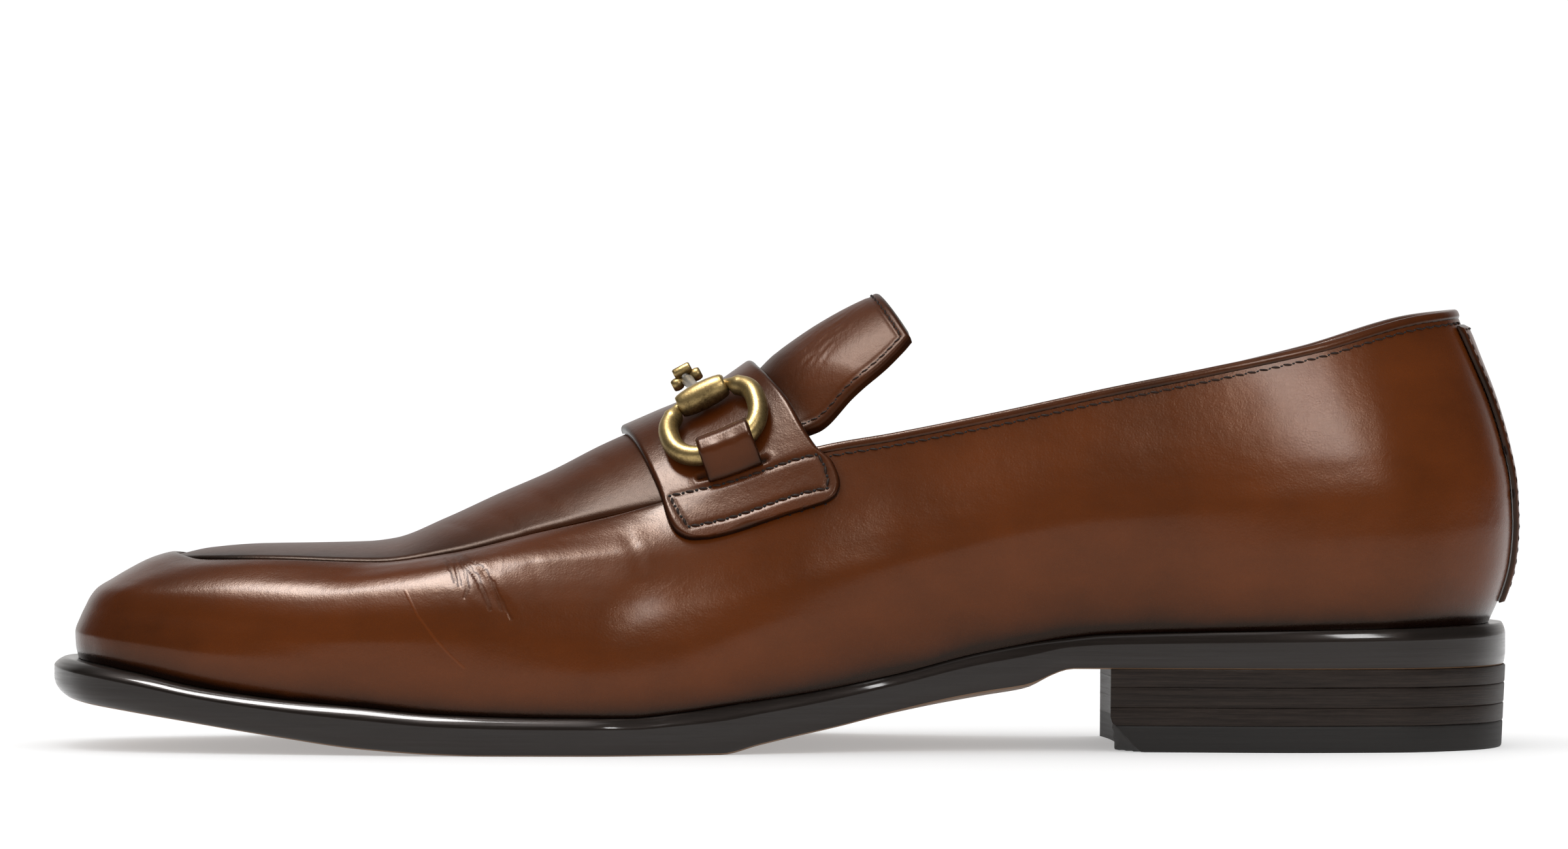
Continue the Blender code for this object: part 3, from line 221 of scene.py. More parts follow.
def along(share):
    """Place on x of a share along the sole: (share - 0.5) * length."""
    return (share - 0.5) * SOLE_LENGTH


def angle_share(share):
    """Share of a half turn whose cosine falls at this share of a length."""
    return np.arccos(np.clip(1 - 2 * np.asarray(share), -1, 1)) / math.pi


def cosine_share(turn):
    """Share of a length at this share of a half turn: (1 - cos(pi * turn)) / 2."""
    return (1 - np.cos(math.pi * np.asarray(turn))) / 2


print("heel station 0.9 lies at", round(along(0.9), 3), "m")

# %% [markdown]
# ## Outlines and surfaces
# An outline is read by a turn from 0 at the toe to 1 at the heel, on side -1 (inner) or +1
# (outer). The cosine of the turn gives the place along the shoe, so the points crowd at the
# round ends. The side wall blends from the welt outline up to the top line, and the instep
# is a height field over the foot: high on the ridge and falling with a power of the width.

# %% Outlines
FINE_TURN = np.linspace(0, 1, 1601)
# A margin pulls the ends in by the sixth power of the share, and eases off near them
END_POWER = 6
END_EASE = 0.35


def table_column(side):
    """Column of a table for a side: 1 for the inner, 2 for the outer."""
    return 1 if side < 0 else 2


def outsole_ring(turn, side):
    """Outline of the sole: x from the turn's cosine, y the half width read by turn."""
    rows = np.array(OUTSOLE_PLAN)
    half = smooth(turn, angle_share(rows[:, 0]), rows[:, table_column(side)]) * BALL_WIDTH
    return along(cosine_share(turn)), side * half


def inset_ring(turn, side, front, rear, amount):
    """The sole's outline drawn in by front, rear and, at the sides, by amount."""
    x, y = outsole_ring(turn, side)
    share = cosine_share(turn)
    ends = np.minimum(1.0, np.sin(math.pi * np.asarray(turn)) / END_EASE)
    pulled = x + front * (1 - share) ** END_POWER - rear * share ** END_POWER
    return pulled, y - side * np.asarray(amount) * ends


def feather_ring(turn, side):
    """Where the upper meets the welt: the sole's outline less the welt's margin."""
    x, y = outsole_ring(turn, side)
    share = cosine_share(turn)
    margin = read(WELT_MARGIN, share, table_column(side)) * WELT_AT_TOE
    x = x + WELT_AT_TOE * (1 - share) ** END_POWER - WELT_AT_SEAT * share ** END_POWER
    return x, y - side * margin


def topline_ring(turn, side):
    """Outline of the apron seam and then of the collar."""
    rows = np.array(TOPLINE_PLAN)
    first, last = rows[0, 0], rows[-1, 0]
    own_turn = angle_share((rows[:, 0] - first) / (last - first))
    half = smooth(turn, own_turn, rows[:, table_column(side)]) * BALL_WIDTH
    return along(first + (last - first) * cosine_share(turn)), side * half


def even_turns(count, ring=feather_ring):
    """Turns that space count points evenly along a ring."""
    x, y = ring(FINE_TURN, 1)
    gone = np.concatenate([[0], np.cumsum(np.hypot(np.diff(x), np.diff(y)))])
    return np.interp(np.linspace(0, gone[-1], count), gone, FINE_TURN)


def feather_height(x):
    """Height of the line where the upper meets the welt: table * SEAT_HEIGHT."""
    return read(FEATHER_HEIGHT, station(x)) * SEAT_HEIGHT


def under_height(x):
    """Height of the underside of the sole: table * SEAT_HEIGHT."""
    return read(UNDER_HEIGHT, station(x)) * SEAT_HEIGHT


def topline_height(x, side):
    """Height of the apron seam and the collar: table * BACK_HEIGHT."""
    return read(TOPLINE_HEIGHT, station(x), table_column(side)) * BACK_HEIGHT


def ridge_height(x):
    """Height of the middle line over the foot: table * BACK_HEIGHT."""
    return read(RIDGE_HEIGHT, station(x)) * BACK_HEIGHT


low, high = (np.array(v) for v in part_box("outsole"))
own_low = [along(0), outsole_ring(FINE_TURN, -1)[1].min(), 0.0]
own_high = [along(1), outsole_ring(FINE_TURN, 1)[1].max(), 0.0]
SHIFT = (low + high) / 2 - (np.array(own_low) + own_high) / 2
SHIFT[2] = 0.0
print("the packed model is shifted by", (SHIFT / MM).round(2), "mm")

# %% Surfaces of the upper
INSTEP_POWER = 2.2
SHOE_MIDDLE = np.array([0.0, 0.0, 0.030])


def wall(turn, level, side):
    """Outer side wall: feather + (top line - feather) * (rise, inset), pushed out by the
    section's bulge. Level 0 is the feather and 1 the top line."""
    turn, level = np.broadcast_arrays(np.asarray(turn, float), np.asarray(level, float))
    share = cosine_share(turn)
    foot_x, foot_y = feather_ring(turn, side)
    top_x, top_y = topline_ring(turn, side)
    foot_z = feather_height(foot_x) + SEAT_GAP
    top_z = topline_height(top_x, side)
    ahead = np.stack(feather_ring(np.minimum(turn + 1e-4, 1), side))
    run = ahead - np.stack(feather_ring(np.maximum(turn - 1e-4, 0), side))
    length = np.maximum(np.hypot(run[0], run[1]), 1e-12)
    out_x, out_y = -side * run[1] / length, side * run[0] / length
    at_ends = (turn <= 0) | (turn >= 1)
    out_x = np.where(at_ends, np.where(turn <= 0, -1.0, 1.0), out_x)
    out_y = np.where(at_ends, 0.0, out_y)
    levels = np.linspace(0, 1, len(TOE_SECTION))
    blends = [fade(share, SECTION_STATIONS[i], SECTION_STATIONS[i + 1]) for i in range(3)]
    values = []
    for column in range(3):
        rows = [smooth(level, levels, np.array(section)[:, column]) for section in SECTIONS]
        value = rows[0]
        for i in range(3):
            value = value + (rows[i + 1] - rows[i]) * blends[i]
        values.append(value)
    rise, inset, bulge = values
    bulge = bulge * read(WALL_BULGE, share, table_column(side)) * BALL_WIDTH
    x = foot_x + (top_x - foot_x) * inset + out_x * bulge
    y = foot_y + (top_y - foot_y) * inset + out_y * bulge
    return np.stack([x, y, foot_z + (top_z - foot_z) * rise], axis=-1)


def topline_half_width(x, side):
    """Half width at the top line, read off its outline at x."""
    ring_x, ring_y = topline_ring(FINE_TURN, side)
    return np.interp(x, ring_x, np.abs(ring_y))


def instep(x, across):
    """Over the foot: z = ridge - (ridge - edge) * |across| ** INSTEP_POWER."""
    x, across = np.broadcast_arrays(np.asarray(x, float), np.asarray(across, float))
    inner = across < 0
    half = np.where(inner, topline_half_width(x, -1), topline_half_width(x, 1))
    edge = np.where(inner, topline_height(x, -1), topline_height(x, 1))
    ridge = ridge_height(x)
    z = ridge - (ridge - edge) * np.abs(across) ** INSTEP_POWER
    return np.stack([x, across * half, z], axis=-1)


def unit(vectors):
    """Vectors divided by their lengths."""
    return vectors / np.maximum(np.linalg.norm(vectors, axis=-1, keepdims=True), 1e-15)


def instep_normals(x, across):
    """Cross product of the instep's two slopes, turned upwards."""
    x, across = np.broadcast_arrays(np.asarray(x, float), np.asarray(across, float))
    a, e = np.clip(across, -0.985, 0.985), 1e-4
    lengthwise = instep(x + e, a) - instep(x - e, a)
    sideways = instep(x, a + e) - instep(x, a - e)
    normal = unit(np.cross(lengthwise, sideways))
    return np.where(normal[..., 2:] < 0, -normal, normal)


def grid_normals(points, outward, wrap=False):
    """Unit normals of a grid from its central differences, turned towards outward."""
    if wrap:
        sideways = np.roll(points, -1, axis=1) - np.roll(points, 1, axis=1)
    else:
        sideways = np.gradient(points, axis=1)
    normal = unit(np.cross(np.gradient(points, axis=0), sideways))
    facing = np.sum(normal * outward, axis=-1, keepdims=True)
    return np.where(facing < 0, -normal, normal)


print("back of the collar at", wall(1.0, 1.0, 1).round(4))

# %% [markdown]
# ## Writing shader maths as Python
# A Blender material is a tree of nodes, and every sum in it is a node of its own. A small
# class that wraps a node's output lets the lesson write `noise * 0.4 + edge` and adds the
# Math nodes itself. Colours go through Mix nodes, because Math would turn them grey.

# %% Shader helpers


class Wire:
    """One output of a node. Arithmetic on it adds Math nodes."""

    def __init__(self, finish, socket):
        self.finish, self.socket = finish, socket

    def math(self, operation, *values):
        """One Math node on the given values."""
        return self.finish.node("ShaderNodeMath", {"operation": operation}, dict(enumerate(values)))

    def __add__(self, other):
        return self.math("ADD", self, other)

    def __sub__(self, other):
        return self.math("SUBTRACT", self, other)

    def __rsub__(self, other):
        return self.math("SUBTRACT", other, self)

    def __mul__(self, other):
        return self.math("MULTIPLY", self, other)

    def clamp(self):
        """The number kept between 0 and 1."""
        return self.finish.node("ShaderNodeClamp", {}, {0: self})

    __radd__, __rmul__ = __add__, __mul__


class Finish:
    """A material with its tree, its Principled shader and Object coordinates."""

    def __init__(self, name, **constants):
        self.material = bpy.data.materials.new(name)
        self.material.use_nodes = True
        self.tree = self.material.node_tree
        self.shader = self.tree.nodes["Principled BSDF"]
        self.place = self.node("ShaderNodeTexCoord", {}, {}, "Object")
        self.set(**constants)

    def node(self, kind, settings, values, output=0):
        """Add a node: its type, its settings, then the values or wires of its sockets."""
        made = self.tree.nodes.new(kind)
        for key, value in settings.items():
            setattr(made, key, value)
        for key, value in values.items():
            self.feed(made.inputs[key], value)
        return Wire(self, made.outputs[output])

    def feed(self, socket, value):
        """Link a wire to a socket, or set the socket to a value."""
        if isinstance(value, Wire):
            self.tree.links.new(value.socket, socket)
        else:
            socket.default_value = (*value, 1) if np.ndim(value) and len(value) == 3 and \
                socket.type == "RGBA" else value

    def set(self, **inputs):
        """Feed the Principled shader: base_color is its Base Color, and so on."""
        for key, value in inputs.items():
            name = key.replace("_", " ").title().replace("Ior", "IOR")
            self.feed(self.shader.inputs[name], value)

    def field(self, name):
        """A number that the mesh carries at its points."""
        return self.node("ShaderNodeAttribute", {"attribute_name": name}, {}, "Fac")

    def scaled(self, x, y, z):
        """Object coordinates times (x, y, z), which stretches a noise."""
        return self.node("ShaderNodeMapping", {}, {"Vector": self.place, "Scale": (x, y, z)})

    def noise(self, scale, detail=2.0, rough=0.5, place=None, distortion=0.0):
        """Cloudy noise from 0 to 1."""
        values = {"Vector": place or self.place, "Scale": scale, "Detail": detail,
                  "Roughness": rough, "Distortion": distortion}
        return self.node("ShaderNodeTexNoise", {}, values)

    def cells(self, scale):
        """Distance to the edges of random cells, for the pores of leather."""
        values = {"Vector": self.place, "Scale": scale}
        return self.node("ShaderNodeTexVoronoi", {"feature": "DISTANCE_TO_EDGE"}, values)

    def ramp(self, value, low, high):
        """0 below low, 1 above high, smooth between them."""
        values = {0: value, 1: low, 2: high}
        return self.node("ShaderNodeMapRange", {"interpolation_type": "SMOOTHSTEP"}, values)

    def vector(self, operation, *values, output=0):
        """One Vector Math node."""
        return self.node("ShaderNodeVectorMath", {"operation": operation},
                         dict(enumerate(values)), output)

    def distance_to_lines(self, lines):
        """Least distance, seen from the side, to the straight parts of some paths of (x, z):
        q = P - A, t = q . D / |D|^2 kept in 0 to 1, distance = |q - D t|."""
        flat = self.vector("MULTIPLY", self.place, (1.0, 0.0, 1.0))
        least = None
        for line in lines:
            for (ax, az), (bx, bz) in zip(line[:-1], line[1:]):
                dx, dz = bx - ax, bz - az
                square = dx * dx + dz * dz
                q = self.vector("SUBTRACT", flat, (ax, 0.0, az))
                t = self.vector("DOT_PRODUCT", q, (dx / square, 0.0, dz / square), output=1).clamp()
                step = self.node("ShaderNodeVectorMath", {"operation": "SCALE"},
                                 {0: (dx, 0.0, dz), 3: t})
                gap = self.vector("LENGTH", self.vector("SUBTRACT", q, step), output=1)
                least = gap if least is None else gap.math("MINIMUM", least, gap)
        return least

    def mix(self, factor, a, b):
        """Colour a where factor is 0, colour b where it is 1."""
        return self.node("ShaderNodeMix", {"data_type": "RGBA"}, {0: factor, 6: a, 7: b}, 2)

    def bump(self, height, strength, distance):
        """Normals tilted as if the surface rose by height * distance."""
        values = {"Height": height, "Strength": strength, "Distance": distance}
        return self.node("ShaderNodeBump", {}, values)


print("shader helpers ready")

# %% [markdown]
# ## Creases too fine for the mesh
# The finest creases at the flex point are thinner than the faces of the wall. They could be
# cut with far more faces, but a groove in the bump looks the same and costs nothing. Each is
# a short path on the inner side, and the distance to the nearest path makes the groove, which
# is also painted darker as painted shade. One scratch runs down from them, a little paler and
# raised.

# %% Fine creases and a scratch
# The frame of the photograph at the shoe: its middle column, the row of the floor, and
# millimetres for a pixel, at the middle of the shoe and on the nearer wall
MIDDLE_COLUMN, FLOOR_ROW = 1194, 1157
MM_PER_PIXEL, MM_ON_WALL, NEAR_WALL = 0.13514, 0.1325, 0.9805
CAMERA_HEIGHT, DROP_TO_FLOOR = 104, 106.18


def from_photo(*places):
    """Path of (x, z) in metres on the inner side, from places in the frame: x grows with
    the column, and z is the camera's height less the drop below it, scaled to the wall."""
    path = []
    for column, row in places:
        drop = (DROP_TO_FLOOR - (FLOOR_ROW - row) * MM_PER_PIXEL) * NEAR_WALL
        path.append(((column - MIDDLE_COLUMN) * MM_ON_WALL * MM + SHIFT[0],
                     (CAMERA_HEIGHT - drop) * MM))
    return path


FINE_CREASES = [
    from_photo((688, 846), (697, 868), (704, 895)),
    from_photo((696, 849), (712, 873), (717, 900), (712, 914)),
    from_photo((702, 851), (719, 869), (735, 895), (749, 926)),
    from_photo((713, 869), (730, 882), (743, 906), (752, 932)),
    from_photo((744, 874), (759, 904), (769, 932)),
    from_photo((756, 892), (775, 930), (784, 946)),
    from_photo((680, 858), (693, 878), (697, 890)),
    from_photo((712, 856), (737, 868)),
]
SCRATCH = [from_photo((621, 905), (640, 941), (664, 972), (690, 1001), (712, 1021))]
print(len(FINE_CREASES), "fine creases and a scratch")

# %% [markdown]
# ## Finishes
# The leather was burnished: a warm brown, rubbed almost black where the upper meets the
# sole, along the seams and at the toe. Each surface below carries a darkness number at its
# points: mostly that burnishing, and painted shade under the raised edge of the apron, along
# the underside of the collar binding and just below it, in the strap's slit and stitch
# groove, and where the tongue runs in under the strap. The material only mixes it with
# noise: a broad cloud, long streaks and fine specks. The grain of polished calf is faint:
# fine cells and a soft pebble, as a bump, under a thin coat of wax. Where the shoe bends,
# the `flex` number brings up fine wrinkles.

# %% Leather


def leather(name, light, dark, wax=0.20, rough=0.25, pebble=1.4, sheen=0.29, creased=False):
    """Burnished leather: colour = light to dark by tone, where tone = a darkness field of
    burnishing and painted shade, plus noise, and the bump adds grain, wrinkles where it
    flexes and, if creased, the fine creases, whose grooves are also painted darker as
    painted shade."""
    made = Finish(name, coat_roughness=0.16, specular_ior_level=sheen,
                  specular_tint=(1, 0.70, 0.52, 1))
    cloud = made.noise(24, 3, 0.6)
    streak = made.noise(1.0, 4, 0.6, made.scaled(90, 60, 260))
    speck = made.noise(900, 2, 0.6)
    burnish = made.field("burnish")
    tone = (burnish * 0.95 + (cloud - 0.5) * 0.90 + (streak - 0.5) * 0.22
            + (speck - 0.5) * 0.10 + 0.16).clamp()
    flex = made.field("flex")
    grain = made.cells(1500) * 0.5 + made.noise(700, 3, 0.55) * 0.8
    slanted = made.node("ShaderNodeMapping", {}, {"Vector": made.place, "Rotation": (0, -0.62, 0),
                                                  "Scale": (760, 300, 120)})
    wrinkle = made.noise(1.0, 3, 0.7, slanted, 0.5)
    uneven = made.noise(55, 3, 0.5) * 4.0 + made.noise(170, 2, 0.5) * 1.2
    height = grain * 0.60 * pebble + wrinkle * flex * 3.0 + uneven
    if creased:
        y = made.node("ShaderNodeSeparateXYZ", {}, {0: made.place}, 1)
        inner = y.math("LESS_THAN", y, 0.0)
        wobble = (made.noise(420, 2) - 0.5) * 0.9 * MM
        to_crease = made.distance_to_lines(FINE_CREASES) + wobble
        to_scratch = made.distance_to_lines(SCRATCH) + wobble * 0.3
        crease = (1 - made.ramp(to_crease, 0.05 * MM, 0.60 * MM)) * inner
        scratch = (1 - made.ramp(to_scratch, 0.05 * MM, 0.40 * MM)) * inner
        height = height - crease * 1.5 + scratch * 0.6
        # The creases are also painted darker: painted shade in their grooves. The scratch is paler.
        tone = (tone + crease * 0.14 - scratch * 0.26).clamp()
    made.set(base_color=made.mix(tone, light, dark), coat_weight=(wax - cloud * 0.12).clamp(),
             roughness=(rough + speck * 0.06 + flex * 0.06).clamp(),
             normal=made.bump(height, 0.40, 0.00012))
    return made.material


CALF_LIGHT, CALF_DARK = (0.112, 0.0240, 0.0026), (0.0050, 0.0014, 0.0006)
calf = leather("burnished_calf", CALF_LIGHT, CALF_DARK)
wall_calf = leather("burnished_wall_calf", CALF_LIGHT, CALF_DARK, creased=True)
apron_calf = leather("softer_apron_calf", CALF_LIGHT, CALF_DARK, wax=0.08, rough=0.33, sheen=0.19)
strap_calf = leather("strap_calf", (0.088, 0.0190, 0.0026), (0.0042, 0.0013, 0.0006), wax=0.14,
                     rough=0.27, pebble=1.6, sheen=0.27)
print("leather:", calf.name, wall_calf.name, strap_calf.name)

# %% [markdown]
# The lining is undyed leather with a dull, open surface. Thread is waxed and dark, and the
# needle holes are painted nearly black: painted shade inside the holes.

# %% Lining, thread and holes
lining = Finish("lining_leather")
fibre = lining.noise(1.0, 4, 0.65, lining.scaled(240, 700, 240))
patch = lining.noise(30, 2)
lining.set(base_color=lining.mix((patch * 0.6 + fibre * 0.5).clamp(), (0.30, 0.155, 0.072),
                                 (0.185, 0.085, 0.036)),
           roughness=fibre * 0.2 + 0.52, normal=lining.bump(fibre, 0.25, 0.0002))
thread = Finish("waxed_thread", specular_ior_level=0.2)
twist = thread.noise(1.0, 2, 0.5, thread.scaled(2600, 2600, 1600))
thread.set(base_color=thread.mix(twist, (0.034, 0.0135, 0.0065), (0.008, 0.0035, 0.002)),
           roughness=twist * 0.2 + 0.50, normal=thread.bump(twist, 0.5, 0.0001))
# Near black: painted shade inside the needle holes.
hole_shade = Finish("needle_hole_shade")
pit = hole_shade.noise(3000, 2)
hole_shade.set(base_color=hole_shade.mix(pit, (0.002, 0.001, 0.0007), (0.005, 0.0025, 0.0015)),
         roughness=pit * 0.1 + 0.75)
lining, thread, hole_shade = lining.material, thread.material, hole_shade.material
print("lining, thread and holes ready")

# %% [markdown]
# The edge of the sole is leather too, but inked black, ironed and waxed, so it shines along
# its shoulder and shows faint scratches lengthwise. The stacked heel shows the layers of
# its lifts as fine level lines, and the bottom of the sole keeps the colour of tan leather.

# %% Sole finishes
edge = Finish("inked_sole_edge", coat_roughness=0.10, specular_ior_level=0.15,
              specular_tint=(1, 0.80, 0.72, 1))
drag = edge.noise(1.0, 5, 0.7, edge.scaled(45, 45, 2400))
mottle = edge.noise(70, 3)
edge.set(base_color=edge.mix((drag * 0.8 + mottle * 0.3).clamp(), (0.0050, 0.0036, 0.0029),
                             (0.0150, 0.0118, 0.0100)),
         roughness=(drag * 0.25 + 0.24).clamp(), coat_weight=(0.85 - drag * 0.6).clamp(),
         normal=edge.bump(drag, 0.30, 0.0002))
stack = Finish("stacked_leather", coat_roughness=0.3, specular_ior_level=0.18,
               specular_tint=(1, 0.80, 0.72, 1))
layer = stack.noise(1.0, 6, 0.75, stack.scaled(28, 28, 1500))
fine = stack.noise(1.0, 3, 0.7, stack.scaled(160, 160, 4200))
brown = stack.noise(1.0, 2, 0.5, stack.scaled(18, 18, 260))
stack_tone = ((layer - 0.5) * 2.6 + (fine - 0.5) * 1.6 + 0.40).clamp()
stack.set(base_color=stack.mix(stack_tone, stack.mix(brown, (0.0030, 0.0022, 0.0017),
                                                     (0.0075, 0.0045, 0.0032)),
                               (0.027, 0.0195, 0.0155)),
          roughness=(layer * 0.35 + 0.36).clamp(), coat_weight=(0.25 - fine * 0.2).clamp(),
          normal=stack.bump(layer * 0.7 + fine * 0.4, 0.55, 0.00035))
tan = Finish("tan_sole_leather")
scuff = tan.noise(1.0, 5, 0.7, tan.scaled(60, 150, 60))
tan.set(base_color=tan.mix(scuff, (0.20, 0.115, 0.062), (0.11, 0.060, 0.032)),
        roughness=scuff * 0.25 + 0.4, normal=tan.bump(scuff, 0.2, 0.0003))
rubber = Finish("top_piece_rubber", specular_ior_level=0.3)
dust = rubber.noise(1.0, 4, 0.7, rubber.scaled(30, 30, 1400))
rubber.set(base_color=rubber.mix(dust, (0.0085, 0.0068, 0.0060), (0.020, 0.0170, 0.0150)),
           roughness=dust * 0.2 + 0.5, normal=rubber.bump(dust, 0.25, 0.0002))
edge, stack, tan, rubber = edge.material, stack.material, tan.material, rubber.material
print("sole finishes ready")

# %% [markdown]
# The bit is brass that was darkened and rubbed back: bright gold on the parts that rub,
# grey brown in the hollows. `rub` is a number on its points, 0 in a hollow and 1 outside.

# %% Antique brass


def brass(name, bright, dull):
    """Metal: shine = rub * 0.85 plus two noises, from dull to bright."""
    made = Finish(name, metallic=1.0)
    cloud = made.noise(330, 4, 0.7)
    grit = made.noise(2600, 2, 0.6)
    rub = made.field("rub")
    shine = (rub * 0.85 + (cloud - 0.5) * 1.5 + (grit - 0.5) * 0.7).clamp()
    made.set(base_color=made.mix(shine, dull, bright), roughness=(0.50 - shine * 0.14).clamp(),
             normal=made.bump(grit * 0.5 + cloud, 0.30, 0.00018))
    return made.material


antique = brass("antique_brass", (0.50, 0.36, 0.155), (0.088, 0.057, 0.024))
silvery = brass("worn_silvery_metal", (0.52, 0.49, 0.44), (0.24, 0.22, 0.19))
print("metal:", antique.name, silvery.name)

# %% [markdown]
# ## Putting surfaces into meshes
# A surface is a grid of points. One function numbers the faces of a grid, one joins the
# grids of a piece into a mesh, merges the points they share and turns the faces outwards.
# A `slab` is a sheet with a thickness: its outer grid, its inner grid and the rim between.

# %% Mesh helpers


def grid_faces(rows, columns, first=0, wrap=False):
    """Quads of a grid: (i, j), (i, j + 1), (i + 1, j + 1), (i + 1, j)."""
    i, j = np.meshgrid(np.arange(rows - 1), np.arange(columns if wrap else columns - 1),
                       indexing="ij")
    k = (j + 1) % columns
    corners = [i * columns + j, i * columns + k, (i + 1) * columns + k, (i + 1) * columns + j]
    return np.stack(corners, axis=-1).reshape(-1, 4) + first


def border(grid):
    """Border of an open grid, once round."""
    return np.concatenate([grid[0, :-1], grid[:-1, -1], grid[-1, :0:-1], grid[:0:-1, 0]])


def piece(name, grids, finishes, node=None, slot="upper_leather", sharp=50, **fields):
    """One object from grids of (points, wraps, material number). Fields are dicts of
    {grid number: values at its points}. It rides on the shoe and may replace a node."""
    points, faces, numbers, count = [], [], [], 0
    for grid, wraps, number in grids:
        made = grid_faces(*grid.shape[:2], count, wraps)
        points.append(grid.reshape(-1, 3))
        faces.append(made)
        numbers.append(np.full(len(made), number))
        count += grid.shape[0] * grid.shape[1]
    mesh = bpy.data.meshes.new(name)
    mesh.from_pydata((np.concatenate(points) + SHIFT).tolist(), [], np.concatenate(faces).tolist())
    mesh.polygons.foreach_set("material_index", np.concatenate(numbers).astype(np.int32))
    for field, given in fields.items():
        values = [np.broadcast_to(given.get(i, 0.0), g[0].shape[:2]).ravel()
                  for i, g in enumerate(grids)]
        layer = mesh.attributes.new(field, "FLOAT", "POINT")
        layer.data.foreach_set("value", np.concatenate(values).astype(np.float32))
    shape = bmesh.new()
    shape.from_mesh(mesh)
    bmesh.ops.remove_doubles(shape, verts=shape.verts, dist=0.004 * MM)
    bmesh.ops.dissolve_degenerate(shape, edges=shape.edges, dist=0.002 * MM)
    bmesh.ops.recalc_face_normals(shape, faces=shape.faces)
    if shape.calc_volume(signed=True) < 0:
        bmesh.ops.reverse_faces(shape, faces=shape.faces)
    shape.to_mesh(mesh)
    shape.free()
    mesh.shade_smooth()
    mesh.set_sharp_from_angle(angle=math.radians(sharp))
    made = bpy.data.objects.new(name, mesh)
    for finish in finishes:
        mesh.materials.append(finish)
    scene.collection.objects.link(made)
    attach(made, "root")
    if node:
        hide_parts(*node)
    triangles = sum(len(p.vertices) - 2 for p in mesh.polygons)
    print(f"{name}: {triangles} triangles")
    return made


def rim_distance(grid):
    """Distance of each point from the nearest of the grid's four borders, along its lines."""
    down = np.linalg.norm(np.diff(grid, axis=0), axis=-1)
    across = np.linalg.norm(np.diff(grid, axis=1), axis=-1)
    top = np.pad(np.cumsum(down, axis=0), ((1, 0), (0, 0)))
    left = np.pad(np.cumsum(across, axis=1), ((0, 0), (1, 0)))
    return np.minimum(np.minimum(top, top[-1] - top), np.minimum(left, left[:, -1:] - left))


def rounding(distance, radius):
    """Share of full height near a rounded edge: a quarter circle of that radius."""
    t = np.clip(distance / radius, 0, 1)
    return np.sqrt(np.maximum(1 - (1 - t) ** 2, 0))


def slab(name, outer, inner, finishes, node=None, slot="upper_leather", inner_number=0, **fields):
    """Sheet between two open grids, with a rim of border points. Fields are arrays."""
    rim = np.stack([border(outer), border(inner)])
    given = {}
    for field, values in fields.items():
        values = np.broadcast_to(values, outer.shape[:2])
        given[field] = {0: values, 1: values, 2: np.stack([border(values[..., None])[:, 0]] * 2)}
    grids = [(outer, False, 0), (inner, False, inner_number), (rim, True, 0)]
    return piece(name, grids, finishes, node, slot, **given)


def crowded(count, power=1.6):
    """Shares from 0 to 1 that crowd towards both ends."""
    t = np.linspace(-1, 1, count)
    return (1 + np.sign(t) * (1 - (1 - np.abs(t)) ** power)) / 2


print("a 4 by 5 grid has", len(grid_faces(4, 5)), "faces")

# %% [markdown]
# ## The side wall of the upper
# On the real shoe the vamp and quarters are one skin pulled over the last. It could be
# sculpted, but a loft from the size tables keeps the solids' shape exactly. The columns
# crowd where the foot bends, because that is where the creases go. A crease is given as a
# short path of stations and heights, and pressed in as a soft trough with a low
# ridge beside it.

# %% Creases placed one by one
# Each crease: path of (station, share of BACK_HEIGHT), depth and width in millimetres
INNER_CREASES = (
    (((0.278, 0.455), (0.285, 0.404), (0.291, 0.362)), 0.20, 1.0),
    (((0.281, 0.450), (0.293, 0.409), (0.301, 0.364), (0.314, 0.330)), 0.24, 1.1),
    (((0.291, 0.432), (0.303, 0.385), (0.311, 0.340)), 0.18, 0.9),
    (((0.302, 0.415), (0.311, 0.364), (0.320, 0.312)), 0.15, 1.0),
    (((0.280, 0.410), (0.286, 0.364), (0.289, 0.330)), 0.12, 0.8),
    (((0.262, 0.455), (0.270, 0.425)), 0.07, 1.2),
    (((0.330, 0.440), (0.338, 0.390), (0.342, 0.350)), 0.06, 1.3),
    (((0.395, 0.500), (0.404, 0.440), (0.408, 0.390)), 0.14, 1.0),
)
OUTER_CREASES = (
    (((0.286, 0.430), (0.296, 0.380), (0.306, 0.330), (0.322, 0.270)), 0.50, 1.0),
    (((0.300, 0.440), (0.312, 0.390), (0.322, 0.340)), 0.42, 0.9),
    (((0.318, 0.430), (0.330, 0.370), (0.344, 0.300)), 0.34, 1.0),
    (((0.270, 0.400), (0.278, 0.340), (0.292, 0.270)), 0.24, 0.8),
    (((0.352, 0.440), (0.362, 0.380)), 0.18, 0.9),
)


# A crease presses only points within this reach of it
CREASE_REACH = 12 * MM


